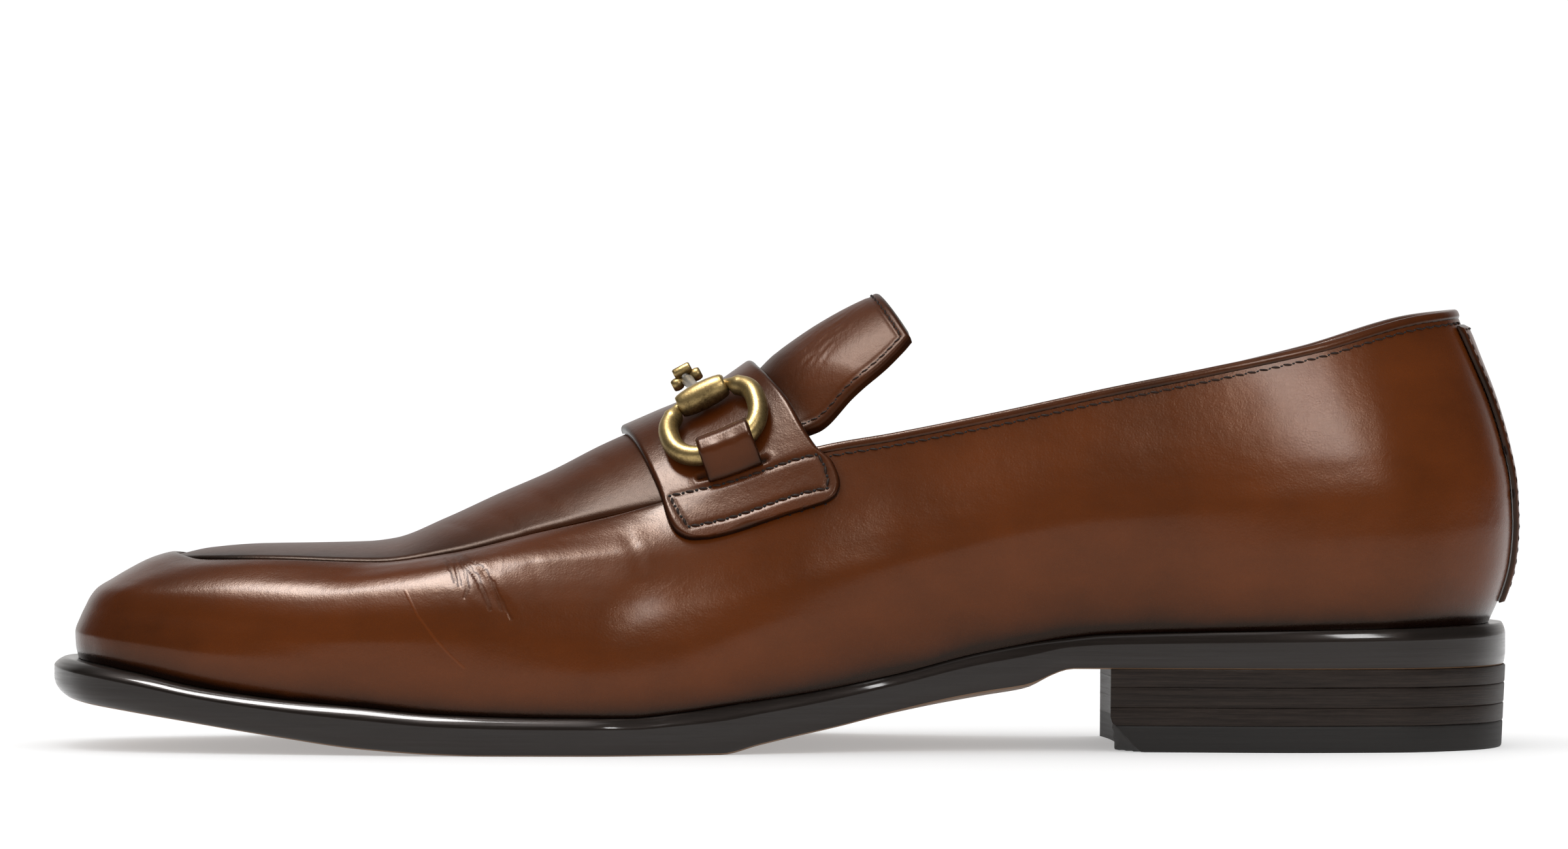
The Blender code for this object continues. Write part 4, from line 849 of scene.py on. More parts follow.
def press(points, creases):
    """Height of the creases at points: for each, -depth * exp(-(d / width) squared) plus a
    ridge of 0.4 depth at 1.8 widths, tapered to both ends, where d is the distance to the
    crease's path seen from the side."""
    height = np.zeros(points.shape[:-1])
    for path, depth, width in creases:
        path = np.array(path)
        x, z = along(path[:, 0]), path[:, 1] * BACK_HEIGHT
        gone = np.concatenate([[0], np.cumsum(np.hypot(np.diff(x), np.diff(z)))])
        fine = np.linspace(0, gone[-1], 60)
        line_x, line_z = smooth(fine, gone, x), smooth(fine, gone, z)
        close = np.abs(points[..., 0] - line_x.mean()) < CREASE_REACH + gone[-1] / 2
        px, pz = points[close][:, 0], points[close][:, 2]
        gap_x, gap_z = px[:, None] - line_x, pz[:, None] - line_z
        distance = np.hypot(gap_x, gap_z)
        nearest = distance.argmin(axis=1)
        d = distance[np.arange(len(px)), nearest] * np.sign(gap_x[np.arange(len(px)), nearest])
        taper = np.sin(math.pi * np.clip(nearest / 59, 0.02, 0.98)) ** 0.7
        w = width * MM
        shape = 0.4 * bump(d, 1.8 * w, w) - bump(d, 0, w)
        height[close] += depth * MM * taper * shape
    return height


print(len(INNER_CREASES) + len(OUTER_CREASES), "creases")

# %% Side wall helpers
SEAM_STEP = 0.20 * MM
THROAT_X = 6.0 * MM
THROAT_SWEEP = 19.0 * MM
BINDING_HEIGHT = 2.4 * MM
BINDING_WIDTH = 2.4 * MM
BINDING_START = 10.7 * MM
FLEX_STATION = 0.30
SEAM_FADE_START, SEAM_FADE_END = -40 * MM, -14 * MM


def seam_share(x):
    """1 along the apron seam, fading to 0 where the vamp runs on under the strap."""
    return 1 - fade(x, SEAM_FADE_START, SEAM_FADE_END)


def wall_turns(count):
    """Turns spaced evenly along the feather line, but twice as close where the foot bends."""
    turns = even_turns(1601)
    weight = 1 + 1.3 * bump(cosine_share(turns), FLEX_STATION, 0.07)
    gone = np.concatenate([[0], np.cumsum((weight[1:] + weight[:-1]) / 2)])
    return np.interp(np.linspace(0, gone[-1], count), gone, turns)


def wall_fields(points, levels):
    """Darkness: burnishing dark at the feather, at the toe and at the back; along the apron seam
    the seam's burnishing plus painted shade under the apron's raised edge; painted shade in a
    thin band just under the collar binding. Flex: a patch of fine wrinkles on the bend and a
    faint one below the collar."""
    share = station(points[..., 0])
    level = np.broadcast_to(levels[:, None], share.shape)
    front = 1 - fade(points[..., 0], -30 * MM, THROAT_X)
    burnish = (1.00 * np.exp(-level / 0.070) + 0.16 * np.exp(-level / 0.25)
               # Along the apron seam: its burnishing, plus painted shade under the apron's raised
               # edge.
               + 0.42 * front * np.exp(-(1 - level) / 0.05) + 0.40 * bump(share, 0.0, 0.10)
               + 0.16 * bump(share, 0.50, 0.16) * fade(level, 0.45, 0.95)
               # Painted shade in a thin band just under the collar binding.
               + 0.50 * (1 - front) * np.exp(-(1 - level) / 0.035)
               + 0.14 * bump(share, 1.0, 0.08) + 0.10 * bump(share, 0.74, 0.12) * (1 - level))
    flex = bump(share, 0.295, 0.030) * bump(level, 0.86, 0.13)
    flex = flex + 0.10 * bump(share, 0.40, 0.03) * bump(level, 0.85, 0.12)
    return burnish, flex


print("columns crowd round station", FLEX_STATION)

# %% Side wall mesh
turns = wall_turns(250)
levels = np.linspace(0, 1, 84)
sides = []
for side, creases in ((-1, INNER_CREASES), (1, OUTER_CREASES)):
    skin = wall(turns[None, :], levels[:, None], side)
    facing = grid_normals(skin, skin - SHOE_MIDDLE)
    top_x = skin[..., 0]
    under_apron = fade(levels, 0.90, 1.0)[:, None] * seam_share(top_x)
    edges = (np.minimum(levels, 1 - levels) * 12).clip(0, 1)[:, None]
    lip = np.exp(-(1 - levels) / 0.010)[:, None] * seam_share(top_x)
    height = press(skin, creases) * edges - SEAM_STEP * under_apron - 0.40 * MM * lip
    pillow = 0.35 * MM * bump(levels, 0.80, 0.07)[:, None] * bump(station(top_x), 0.36, 0.09)
    skin = skin + facing * (height + pillow)[..., None]
    peak = 1.5 * MM * bump(station(top_x[-1]), 0.079, 0.016) * (1 - fade(turns, 0.10, 0.16))
    skin[..., 2] += peak[None, :] * fade(levels, 0.72, 1.0)[:, None]
    sides.append(skin)
skin = np.concatenate([sides[0], sides[1][:, -2:0:-1]], axis=1)
facing = grid_normals(skin, skin - SHOE_MIDDLE, wrap=True)
trim = BINDING_HEIGHT * 0.6 * fade(skin[-1, :, 0], THROAT_X + 1.5 * MM, BINDING_START)
skin[-1] += unit(skin[-3] - skin[-1]) * trim[:, None]
skin[-2] += unit(skin[-3] - skin[-1]) * trim[:, None] * 0.5
inside = skin - facing * UPPER_WALL
inside[0, :, 2] = skin[0, :, 2]
tucked = 1.2 * MM * seam_share(skin[..., 0]) * fade(levels, 0.6, 1.0)[:, None]
inside[..., 2] = np.minimum(inside[..., 2], np.where(tucked > 0, skin[..., 2] - tucked, 1.0))
burnish, flex = wall_fields(skin, levels)
closing = [(np.stack([skin[0], inside[0]]), True, 0), (np.stack([skin[-1], inside[-1]]), True, 0)]
piece("upper_wall", [(skin, True, 0), *closing, (inside, True, 1)], [wall_calf, lining],
      ("upper",), burnish={0: burnish, 1: 1.0, 2: 0.6}, flex={0: flex})

# %% [markdown]
# ## The raised apron
# The apron is a separate plug of leather over the toes, sewn so that its edge stands a
# little proud of the wall. It is a sheet with a rounded edge, from the front of the seam
# back to the swept throat.

# %% Apron
# Each crease: place on x, share across, depth in millimetres
APRON_CREASES = (
    (-48 * MM, 0.72, 0.25), (-56 * MM, 0.80, 0.25), (-36 * MM, 0.55, 0.15),
    (-66 * MM, 0.60, 0.18),
)


def apron(rows, columns):
    """Instep surface over rows from the front of the seam to x = throat edge, where the
    throat edge is THROAT_X - THROAT_SWEEP * (1 - across squared)."""
    ring = topline_ring(FINE_TURN, 1)
    last = float(np.interp(THROAT_X, ring[0], FINE_TURN))
    front_turns = np.linspace(0, 1, rows) ** 1.15 * last
    top_x, _ = topline_ring(front_turns, 1)
    across = 2 * crowded(columns, 1.5) - 1
    sweep = THROAT_SWEEP * fade(top_x, THROAT_X - 56 * MM, THROAT_X)
    x = top_x[:, None] - sweep[:, None] * (1 - across[None, :] ** 2)
    return x, np.broadcast_to(across, x.shape)


x, across = apron(190, 120)
surface = instep(x, across)
facing = instep_normals(x, across)
edge_gap = (1 - np.abs(across)) * np.where(across < 0, topline_half_width(x, -1),
                                           topline_half_width(x, 1))
edge_gap = np.minimum(edge_gap, (x - along(TOPLINE_PLAN[0][0])) * 1.2 + 0.05 * MM)
lift = 0.12 * MM - (1 - rounding(edge_gap, 1.5 * MM)) * 0.85 * MM
lift = lift * seam_share(x)
for middle, where, depth in APRON_CREASES:
    for hand in (-1, 1):
        slant = x - middle - (across * hand - where) * 14 * MM
        lift = lift - depth * MM * bump(slant, 0, 1.1 * MM) * bump(across * hand, where, 0.20)
outer = surface + facing * lift[..., None]
inner = surface - facing * 1.6 * MM
burnish = (0.35 * np.exp(-edge_gap / (4.0 * MM)) * (1 - fade(x, -30 * MM, 0)) + 0.14
           + 0.18 * bump(station(x), 0.08, 0.10) + 0.18 * fade(np.abs(across), 0.5, 1.0))
flex = 0.5 * bump(station(x), 0.33, 0.04) * fade(np.abs(across), 0.4, 0.8)
slab("upper_apron", outer, inner, [apron_calf, lining], ("upper",), inner_number=1,
     burnish=burnish, flex=flex)

# %% [markdown]
# ## Stitches
# A stitch is a short plump lozenge of waxed thread that dives into a hole at each end. It
# needs only a few faces, because there are hundreds. A row of stitches is laid along a
# path on a surface, at an even pitch, and the holes are the same shape, shorter and black,
# as painted shade inside the holes.

# %% Stitch rows


def resampled(path, step, offset=0.5):
    """Places at an even step along a path, with the directions there."""
    gone = np.concatenate([[0], np.cumsum(np.linalg.norm(np.diff(path, axis=0), axis=1))])
    count = int(gone[-1] / step)
    places = (np.arange(count) + offset) * gone[-1] / count
    at = np.stack([np.interp(places, gone, path[:, k]) for k in range(3)], axis=-1)
    ahead = np.stack([np.interp(places + 0.3 * MM, gone, path[:, k]) for k in range(3)], axis=-1)
    back = np.stack([np.interp(places - 0.3 * MM, gone, path[:, k]) for k in range(3)], axis=-1)
    return at, unit(ahead - back), places, gone


def stitch_row(name, rows, pitch=2.7, length=2.0, radius=0.30, finish=None, offset=0.5, lean=0.25,
               sink=0.0):
    """Lozenges along rows of (path, normals): radius * plump at five sections, six sides
    each, leaning across the row a little as lockstitches do. Sizes in millimetres."""
    grids = []
    share = np.array([-0.5, -0.32, 0.0, 0.32, 0.5])
    plump = np.array([0.02, 0.8, 1.0, 0.8, 0.02])
    angle = np.linspace(0, 2 * math.pi, 6, endpoint=False)
    for path, normals in rows:
        at, run, places, gone = resampled(path, pitch * MM, offset)
        up = unit(np.stack([np.interp(places, gone, normals[:, k]) for k in range(3)], axis=-1))
        across = unit(np.cross(run, up))
        run = unit(run + across * lean)
        across = unit(np.cross(run, up))
        middle = (at[:, None] + run[:, None] * share[:, None] * length * MM
                  - up[:, None] * (sink + 0.12 * (2 * share[:, None]) ** 2) * MM)
        spoke = (across[:, None, None] * np.cos(angle)[:, None] * 0.8
                 + up[:, None, None] * np.sin(angle)[:, None])
        points = middle[:, :, None] + spoke * (plump * radius * MM)[:, None, None]
        grids += [(lozenge, True, 0) for lozenge in points]
    return piece(name, grids, [finish or thread], sharp=80)


print("stitch helper ready")

# %% [markdown]
# ## Collar
# The opening is bound with a narrow folded strip. It is a rounded profile carried along the
# top line, from one corner of the throat round the back to the other, with a row of
# stitches just below it.

# %% Collar binding
start = float(np.interp(BINDING_START, topline_ring(FINE_TURN, 1)[0], FINE_TURN))
collar_turns = np.linspace(start - 0.012, 1, 240)
loops = []
for level in (1.0, 0.9):
    inner_side = wall(collar_turns, level, -1)
    outer_side = wall(collar_turns[::-1], level, 1)[1:]
    loops.append(np.concatenate([inner_side, outer_side]))
top, below = loops
up = unit(top - below)
run = unit(np.gradient(top, axis=0))
out = unit(np.cross(run, up))
flip = np.sum(out * (top - np.array([0.08, 0.0, 0.0])), axis=-1, keepdims=True) < 0
out = np.where(flip, -out, out)
base = top - up * BINDING_HEIGHT - out * UPPER_WALL / 2
angle = np.linspace(0, 2 * math.pi, 20, endpoint=False)
sideways = 0.56 * np.sign(np.cos(angle)) * np.abs(np.cos(angle)) ** 0.75
upwards = 0.53 + 0.47 * np.sign(np.sin(angle)) * np.abs(np.sin(angle)) ** 0.75
tube = (base[:, None] + out[:, None] * (sideways * BINDING_WIDTH)[:, None]
        + up[:, None] * (upwards * BINDING_HEIGHT)[:, None])


def capped(tube, number=0):
    """A tube's grid and two fans that close its ends."""
    fans = [np.stack([ring, np.repeat(ring.mean(0, keepdims=True), len(ring), 0)])
            for ring in (tube[0], tube[-1])]
    return [(tube, True, number)] + [(fan, True, number) for fan in fans]


# Darkness of the binding: 0.42 of burnishing, plus a band of painted shade along its underside,
# where it stands over the wall.
creased = np.broadcast_to(0.42 + 0.55 * bump(upwards, 0.05, 0.22), tube.shape[:2])
piece("collar_binding", capped(tube), [calf], ("collar_binding",), burnish={0: creased},
      flex={0: 0.25})

# %% Collar stitches
BELOW_BINDING = 3.1 * MM
rows = []
for side in (-1, 1):
    turns_here = np.linspace(start - 0.006, 0.972, 400)
    lower, upper_edge = wall(turns_here, 0.8, side), wall(turns_here, 1.0, side)
    drop = np.linalg.norm(upper_edge - lower, axis=-1)
    path = wall(turns_here, 1 - 0.2 * BELOW_BINDING / drop, side)
    normals = unit(np.cross(np.gradient(path, axis=0), upper_edge - lower)) * -side
    rows.append((path + normals * 0.10 * MM, normals))
stitch_row("collar_stitches", rows, 2.5, 2.0, 0.30)
stitch_row("collar_hole_shade", rows, 2.5, 0.7, 0.26, hole_shade, 0.0, 0.0, 0.12)

# %% [markdown]
# ## Tongue
# The tongue is the front of the vamp carried on behind the strap, standing free over the
# instep. Its end is cut square with a rounded corner, its edge is turned and stitched, and
# a fan of fine wrinkles runs up from the strap.

# %% Tongue shape
# Ridge station, reach of the edge behind the ridge, half width
TONGUE_SHAPE = (
    (0.380, 0.0000, 0.205), (0.420, 0.0120, 0.215), (0.460, 0.0235, 0.236),
    (0.494, 0.0300, 0.248), (0.520, 0.0280, 0.227), (0.545, 0.0250, 0.207),
    (0.561, 0.0226, 0.188), (0.5685, 0.0203, 0.178),
)
TONGUE_THICKNESS = 2.4 * MM
TONGUE_CLEARANCE = UPPER_WALL + 0.8 * MM
TONGUE_RISE = 13.0 * MM
# Share across, ridge station, length and depth in millimetres of the wrinkles
TONGUE_WRINKLES = (
    (-0.78, 0.500, 9, 0.10), (-0.72, 0.503, 12, 0.14), (-0.66, 0.500, 14, 0.15),
    (-0.61, 0.505, 11, 0.12), (-0.56, 0.500, 15, 0.15), (-0.50, 0.506, 13, 0.12),
    (-0.45, 0.502, 16, 0.14), (-0.39, 0.508, 12, 0.10), (-0.33, 0.506, 14, 0.10),
    (-0.26, 0.512, 10, 0.07), (0.45, 0.508, 14, 0.13), (0.52, 0.506, 13, 0.13),
    (0.60, 0.504, 14, 0.14), (0.68, 0.503, 10, 0.10), (0.34, 0.512, 11, 0.08),
)
print(len(TONGUE_WRINKLES), "wrinkles")

# %% Tongue mesh
ROWS, COLUMNS = 130, 110
first, last = TONGUE_SHAPE[0][0], TONGUE_SHAPE[-1][0]
shares = first + (last - first) * (1 - (1 - np.linspace(0, 1, ROWS)) ** 1.5)
across = 2 * crowded(COLUMNS, 1.8) - 1
reach = read(TONGUE_SHAPE, shares, 1)[:, None] * SOLE_LENGTH
half = read(TONGUE_SHAPE, shares, 2)[:, None] * BALL_WIDTH
x = along(shares)[:, None] + reach * np.abs(across[None, :]) ** 2
y = half * across[None, :]
inner_half = np.where(y < 0, topline_half_width(x, -1), topline_half_width(x, 1))
surface = instep(x, y / inner_half)
facing = instep_normals(x, y / inner_half)
throat_edge = THROAT_X - THROAT_SWEEP * (1 - across ** 2)
depth = TONGUE_CLEARANCE * (1 - fade(x - throat_edge, 0.0, TONGUE_RISE))
depth = np.maximum(depth, 0.2 * MM * (1 - fade(shares, 0.485, 0.505))[:, None])
outer = surface - facing * depth[..., None]
gap = rim_distance(outer)
height = -(1 - rounding(gap, 1.1 * MM)) * 0.9 * MM
height = (height + 0.12 * MM * bump(gap, 1.0 * MM, 1.0 * MM)
          - 0.14 * MM * bump(gap, 2.3 * MM, 0.5 * MM))
for where, share, length, deep in TONGUE_WRINKLES:
    run = (x - along(share)) / MM
    line = (across[None, :] - where) * half / MM - 0.30 * (run - length / 2)
    waver = 0.35 * np.sin(run * 0.9 + 7 * where)
    trough = bump(line + waver, 0, 0.42) * bump(run, length / 2, length * 0.45)
    ridge = bump(line + waver, 1.0, 0.45) * bump(run, length / 2, length * 0.4)
    height = height - deep * MM * trough
    height = height + 0.5 * deep * MM * ridge
tongue_top = outer + facing * height[..., None]
inner = outer - facing * TONGUE_THICKNESS
# Dark at the edges from burnishing, and painted shade where the tongue runs in under the strap and
# the throat edge.
burnish = 0.12 + 0.55 * np.exp(-gap / (1.4 * MM)) + 0.30 * (1 - fade(x, -2 * MM, 8 * MM))
flex = 0.75 * bump(across, -0.5, 0.3) * bump(station(x), 0.53, 0.03)
slab("tongue_flap", tongue_top, inner, [apron_calf, lining], ("tongue",), inner_number=1,
     burnish=burnish, flex=flex + 0.15)

# %% Tongue stitches


def on_grid(grid, i, j):
    """Points of a grid at fractional rows i and columns j, by straight blends."""
    i, j = np.clip(i, 0, grid.shape[0] - 1.001), np.clip(j, 0, grid.shape[1] - 1.001)
    a, b = i.astype(int), j.astype(int)
    u, v = (i - a)[:, None], (j - b)[:, None]
    low = grid[a, b] * (1 - v) + grid[a, b + 1] * v
    return low * (1 - u) + (grid[a + 1, b] * (1 - v) + grid[a + 1, b + 1] * v) * u


def inset_line(grid, facing, amount, keep):
    """Path on a grid that stays amount from its rim, and its normals. Keep picks the part."""
    gap = rim_distance(grid)
    middle = gap.shape[1] // 2
    left = [np.interp(amount, row[:middle], np.arange(middle)) for row in gap]
    right = [len(row) - 1 - np.interp(amount, row[::-1][:middle], np.arange(middle)) for row in gap]
    end = gap.shape[0] - 1 - np.interp(amount, gap[::-1, middle][:20], np.arange(20))
    rows = np.arange(gap.shape[0], dtype=float)
    kept = (rows > keep) & (rows < end)
    run = np.linspace(0, 1, 60)[1:-1]
    last_left, last_right = np.array(left)[kept][-1], np.array(right)[kept][-1]
    i = np.concatenate([rows[kept], np.full(58, end), rows[kept][::-1]])
    j = np.concatenate([np.array(left)[kept], last_left + (last_right - last_left) * run,
                        np.array(right)[kept][::-1]])
    return on_grid(grid, i, j), unit(on_grid(facing, i, j))


tongue_line, tongue_up = inset_line(tongue_top, facing, 2.3 * MM, 52)
stitch_row("tongue_stitches", [(tongue_line + tongue_up * 0.05 * MM, tongue_up)], 2.4, 1.8, 0.24)
stitch_row("tongue_hole_shade", [(tongue_line, tongue_up)], 2.4, 0.7, 0.27, hole_shade, 0.0, 0.0, 0.10)

# %% [markdown]
# ## Saddle strap
# A strap crosses the instep and is sewn to the quarters with a box of stitches on each
# side. Its surface is the upper's own, read level by level from the inner end over the
# ridge to the outer end, then lifted by its thickness, with a rounded and blackened edge.

# %% Strap shape
# Level up the wall (0 to 1), then over the instep (1 to 2); front and rear stations
STRAP_EDGES = (
    (0.790, 0.452, 0.516), (0.800, 0.440, 0.532), (0.820, 0.433, 0.539),
    (0.850, 0.428, 0.541), (0.920, 0.423, 0.537), (1.000, 0.420, 0.524),
    (1.250, 0.410, 0.507), (1.500, 0.402, 0.494), (1.750, 0.396, 0.486),
    (2.000, 0.392, 0.483),
)
OVERLAY_GAP = 0.35 * MM
STRAP_THICKNESS = 1.7 * MM
BOX_CORNERS = ((0.985, 0.055), (0.957, 0.945), (0.838, 0.925), (0.838, 0.085), (0.985, 0.055))
SLIT_ENDS = ((1.035, 0.27), (1.000, 0.70))


def strap_point(level, share, side):
    """Point of the upper at a level, at a share of the way from the strap's front edge to
    its rear one. Arrays of levels give rows; share 0 to 1 gives the columns."""
    turns = np.linspace(0.3, 0.7, 401)
    rows = []
    for one, part in zip(level, share):
        x = along(read(STRAP_EDGES, one, 1)
                  + (read(STRAP_EDGES, one, 2) - read(STRAP_EDGES, one, 1)) * part)
        if one <= 1.0:
            line = wall(turns, one, side)
            rows.append(np.stack([np.interp(x, line[:, 0], line[:, k]) for k in range(3)], -1))
        else:
            rows.append(instep(x, side * (2.0 - one) * np.ones_like(x)))
    return np.stack(rows)


print("strap length over the instep:", len(STRAP_EDGES), "rows in its table")

# %% Strap surface
wall_levels = 0.79 + 0.21 * np.linspace(0, 1, 40) ** 1.5
instep_levels = 1 + np.linspace(0, 1, 56)[1:]
all_levels = np.concatenate([wall_levels, instep_levels])
columns = crowded(64, 1.7)
halves = [strap_point(all_levels, np.broadcast_to(columns, (len(all_levels), 64)), side)
          for side in (-1, 1)]
surface = np.concatenate([halves[0], halves[1][-2::-1]])
for _ in range(2):
    surface[38:42] = (surface[37:41] + surface[39:43]) / 2
    surface[-42:-38] = (surface[-43:-39] + surface[-41:-37]) / 2
facing = grid_normals(surface, surface - np.array([-0.010, 0.0, 0.020]))
gap = rim_distance(surface)
for lane in (0, -1):
    gap[:, lane] = 0

print("strap surface:", surface.shape[:2])

# %% Strap stitches and slits


def box_lines(side):
    """The box of stitches and the keeper's slit, as paths on the strap with normals."""
    paths = []
    for corners, count in ((BOX_CORNERS, 40), (SLIT_ENDS, 30)):
        corners = np.array(corners)
        t = np.linspace(0, 1, count)[:, None]
        line = np.concatenate([a * (1 - t) + b * t for a, b in zip(corners[:-1], corners[1:])])
        points = strap_point(line[:, 0], line[:, 1:2], side)[:, 0]
        nearest = np.linalg.norm(surface.reshape(-1, 1, 3) - points[None], axis=-1).argmin(axis=0)
        up = facing.reshape(-1, 3)[nearest]
        paths.append((points + up * (OVERLAY_GAP + STRAP_THICKNESS), up))
    return paths


lines = {side: box_lines(side) for side in (-1, 1)}
top_skin = surface + facing * (OVERLAY_GAP + STRAP_THICKNESS)


def distance_to(points, paths):
    """Least distance from each point to any point of the paths."""
    flat = points.reshape(-1, 3)
    least = np.full(len(flat), 1.0)
    for path in paths:
        dense = resampled(path, 0.35 * MM)[0]
        for part in np.array_split(dense, max(1, len(dense) // 60)):
            least = np.minimum(least, np.linalg.norm(flat[:, None] - part, axis=-1).min(axis=1))
    return least.reshape(points.shape[:2])


to_box = distance_to(top_skin, [lines[-1][0][0], lines[1][0][0]])
to_slit = distance_to(top_skin, [lines[-1][1][0], lines[1][1][0]])
height = (-(1 - rounding(gap, 1.0 * MM)) * 0.75 * STRAP_THICKNESS
          - 0.20 * MM * bump(to_box, 0, 0.60 * MM) - 0.7 * MM * bump(to_slit, 0, 0.45 * MM)
          + 0.14 * MM * bump(to_slit, 1.2 * MM, 0.6 * MM))
# Dark at the edge from burnishing, and painted shade in the stitch groove and in the keeper's slit.
burnish = (0.95 * np.exp(-gap / (0.55 * MM)) + 0.30 * bump(to_box, 0, 0.6 * MM)
           + 0.9 * bump(to_slit, 0, 0.5 * MM) + 0.08)
flex = 0.55 * bump(to_box, 1.6 * MM, 2.2 * MM)
slab("saddle_strap_leather", top_skin + facing * height[..., None],
     surface + facing * OVERLAY_GAP, [strap_calf], ("saddle_strap",), "strap_leather",
     burnish=burnish, flex=flex)
rows = [(lines[side][0][0][a * 40:a * 40 + 40] - lines[side][0][1][a * 40:a * 40 + 40] * 0.12 * MM,
         lines[side][0][1][a * 40:a * 40 + 40]) for side in (-1, 1) for a in range(4)]
stitch_row("strap_stitches", rows, 2.6, 2.1, 0.36)
stitch_row("strap_hole_shade", rows, 2.6, 0.8, 0.36, hole_shade, 0.0, 0.0, 0.05)

# %% [markdown]
# ## Back strap
# A narrow strip covers the seam up the back. Small sewn bars hold its edges.

# %% Back strap
BACK_STRAP_WIDTH = ((0.08, 0.050), (0.35, 0.058), (0.70, 0.070), (0.955, 0.080))
levels = np.linspace(BACK_STRAP_WIDTH[0][0], BACK_STRAP_WIDTH[-1][0], 80)
turns = np.linspace(0.80, 1.0, 161)
t = 2 * crowded(36, 1.8) - 1
rows = []
for level in levels:
    y = t * read(BACK_STRAP_WIDTH, level) * BALL_WIDTH
    both = []
    for side in (-1, 1):
        line = wall(turns, level, side)[::-1]
        both.append(np.stack([np.interp(np.abs(y), np.abs(line[:, 1]), line[:, k])
                              for k in range(3)], axis=-1))
    row = np.where(y[:, None] < 0, both[0], both[1])
    row[:, 1] = y
    rows.append(row)
surface = np.stack(rows)
facing = grid_normals(surface, np.array([1.0, 0.0, 0.0]))
gap = rim_distance(surface)
raised = OVERLAY_GAP + 1.1 * MM * (0.25 + 0.75 * rounding(gap, 0.9 * MM))
outer = surface + facing * (raised - 0.12 * MM * bump(gap, 1.5 * MM, 0.4 * MM))[..., None]
slab("back_strap_leather", outer, surface + facing * OVERLAY_GAP, [calf], ("back_strap",),
     burnish=0.25 + 0.6 * np.exp(-gap / (0.6 * MM)), flex=0.1)
left, left_up = inset_line(outer, facing, 1.5 * MM, 4)
stitch_row("back_strap_stitches", [(left, left_up)], 2.4, 1.7, 0.22)
bars = []
for level in (0.46, 0.60):
    for side in (-1, 1):
        row = int(np.abs(levels - level).argmin())
        rim = outer[row - 3:row + 4, 0 if side < 0 else -1]
        out = np.array([0.15, side, 0.0])
        bars += [(rim + out * shift * MM, np.broadcast_to(facing[row, 0 if side < 0 else -1],
                                                          rim.shape)) for shift in (0.2, 0.7)]
stitch_row("back_strap_bars", bars, 2.2, 2.2, 0.30)

# %% [markdown]
# ## Keepers
# Each keeper is a loop of thin leather that comes out of a slit in the strap, rides over
# the wire of the bit and tucks under it again. Its arch is a small table of distances down
# the strap and heights above it.

# %% Places on the strap
INSTEP_SLOPE = math.radians(28.0)
WIRE_RADIUS = 2.1 * MM
BIT_CENTRE_X = -13.8 * MM
RING_HALF_LENGTH = 10.2 * MM
RING_DROP = 15.9 * MM
RING_LIFT = 0.35 * MM
RING_SQUARENESS = 2.5
BARREL_LENGTH = 11.5 * MM
BARREL_RADIUS = 2.9 * MM
BARREL_OFFSET = 0.51
STRAP_TOP = OVERLAY_GAP + STRAP_THICKNESS


def on_strap(lengthwise, down, side, height):
    """Point over the strap: lengthwise along the instep's slope, down along the section
    from the barrel's place, raised by height."""
    lengthwise, down, height = np.broadcast_arrays(lengthwise, down, height)
    across = np.linspace(0, 1, 201)
    section = instep(np.full_like(across, BIT_CENTRE_X), side * across)
    gone = np.concatenate([[0], np.cumsum(np.linalg.norm(np.diff(section, axis=0), axis=1))])
    reach = np.interp(np.interp(BARREL_OFFSET, across, gone) + down, gone, across)
    x = BIT_CENTRE_X + lengthwise * math.cos(INSTEP_SLOPE) + 0.20 * down
    return (instep(x, side * reach)
            + instep_normals(x, side * reach) * (STRAP_TOP + height)[..., None])


print("bit centre at", on_strap(0.0, 0.0, -1, 0.0).round(4))

# %% Keepers
# Down from the barrel, height over the strap, in millimetres
KEEPER_ARCH = (
    (12.9, 0.30), (13.0, 2.5), (13.7, 4.5), (15.2, 5.4),
    (16.8, 5.4), (18.4, 3.9), (19.8, 1.4), (20.7, 0.30),
)
KEEPER_HALF = 6.2 * MM
KEEPER_SHIFT = 1.3 * MM
keys = np.linspace(0, 1, len(KEEPER_ARCH))
dense = np.linspace(0, 1, 60)
arch = np.array(KEEPER_ARCH) * MM
for side, name in ((-1, "keeper_medial"), (1, "keeper_lateral")):
    wide = 2 * crowded(32, 1.7) - 1
    lower = on_strap(KEEPER_HALF * wide[None, :] + KEEPER_SHIFT,
                     smooth(dense, keys, arch[:, 0])[:, None], side,
                     smooth(dense, keys, arch[:, 1])[:, None])
    wire = on_strap(KEEPER_HALF * wide, RING_DROP, side, WIRE_RADIUS + RING_LIFT)
    facing = grid_normals(lower, lower - wire)
    gap = rim_distance(lower)
    wave = 0.10 * MM * np.sin(wide * 9)[None, :] * bump(dense, 0.75, 0.2)[:, None]
    outer = lower + facing * (1.1 * MM * (0.3 + 0.7 * rounding(gap, 0.7 * MM)) + wave)[..., None]
    slab(name + "_leather", outer, lower, [strap_calf], (name,), "strap_leather",
         burnish=0.12 + 0.75 * np.exp(-gap / (0.5 * MM)) + 0.3 * bump(dense, 1, 0.2)[:, None],
         flex=0.35)

# %% [markdown]
# ## Sole
# Welt, midsole and outsole are trimmed and inked together, so from outside they are one
# smooth black edge: a rounded shoulder on top, an upright middle and a softer lower corner.
# The edge is a profile carried round the outline, and the flat bottom is a grid across it.

# %% Sole helpers
SOLE_BELLY = 1.9 * MM
UPPER_EDGE_INSET = 2.3 * MM
LOWER_EDGE_INSET = 2.6 * MM


def cross_rows(left, right, cells):
    """Straight rows from one side of an outline to the other."""
    t = np.linspace(0, 1, cells + 1)[None, :, None]
    return left[:, None, :] * (1 - t) + right[:, None, :] * t


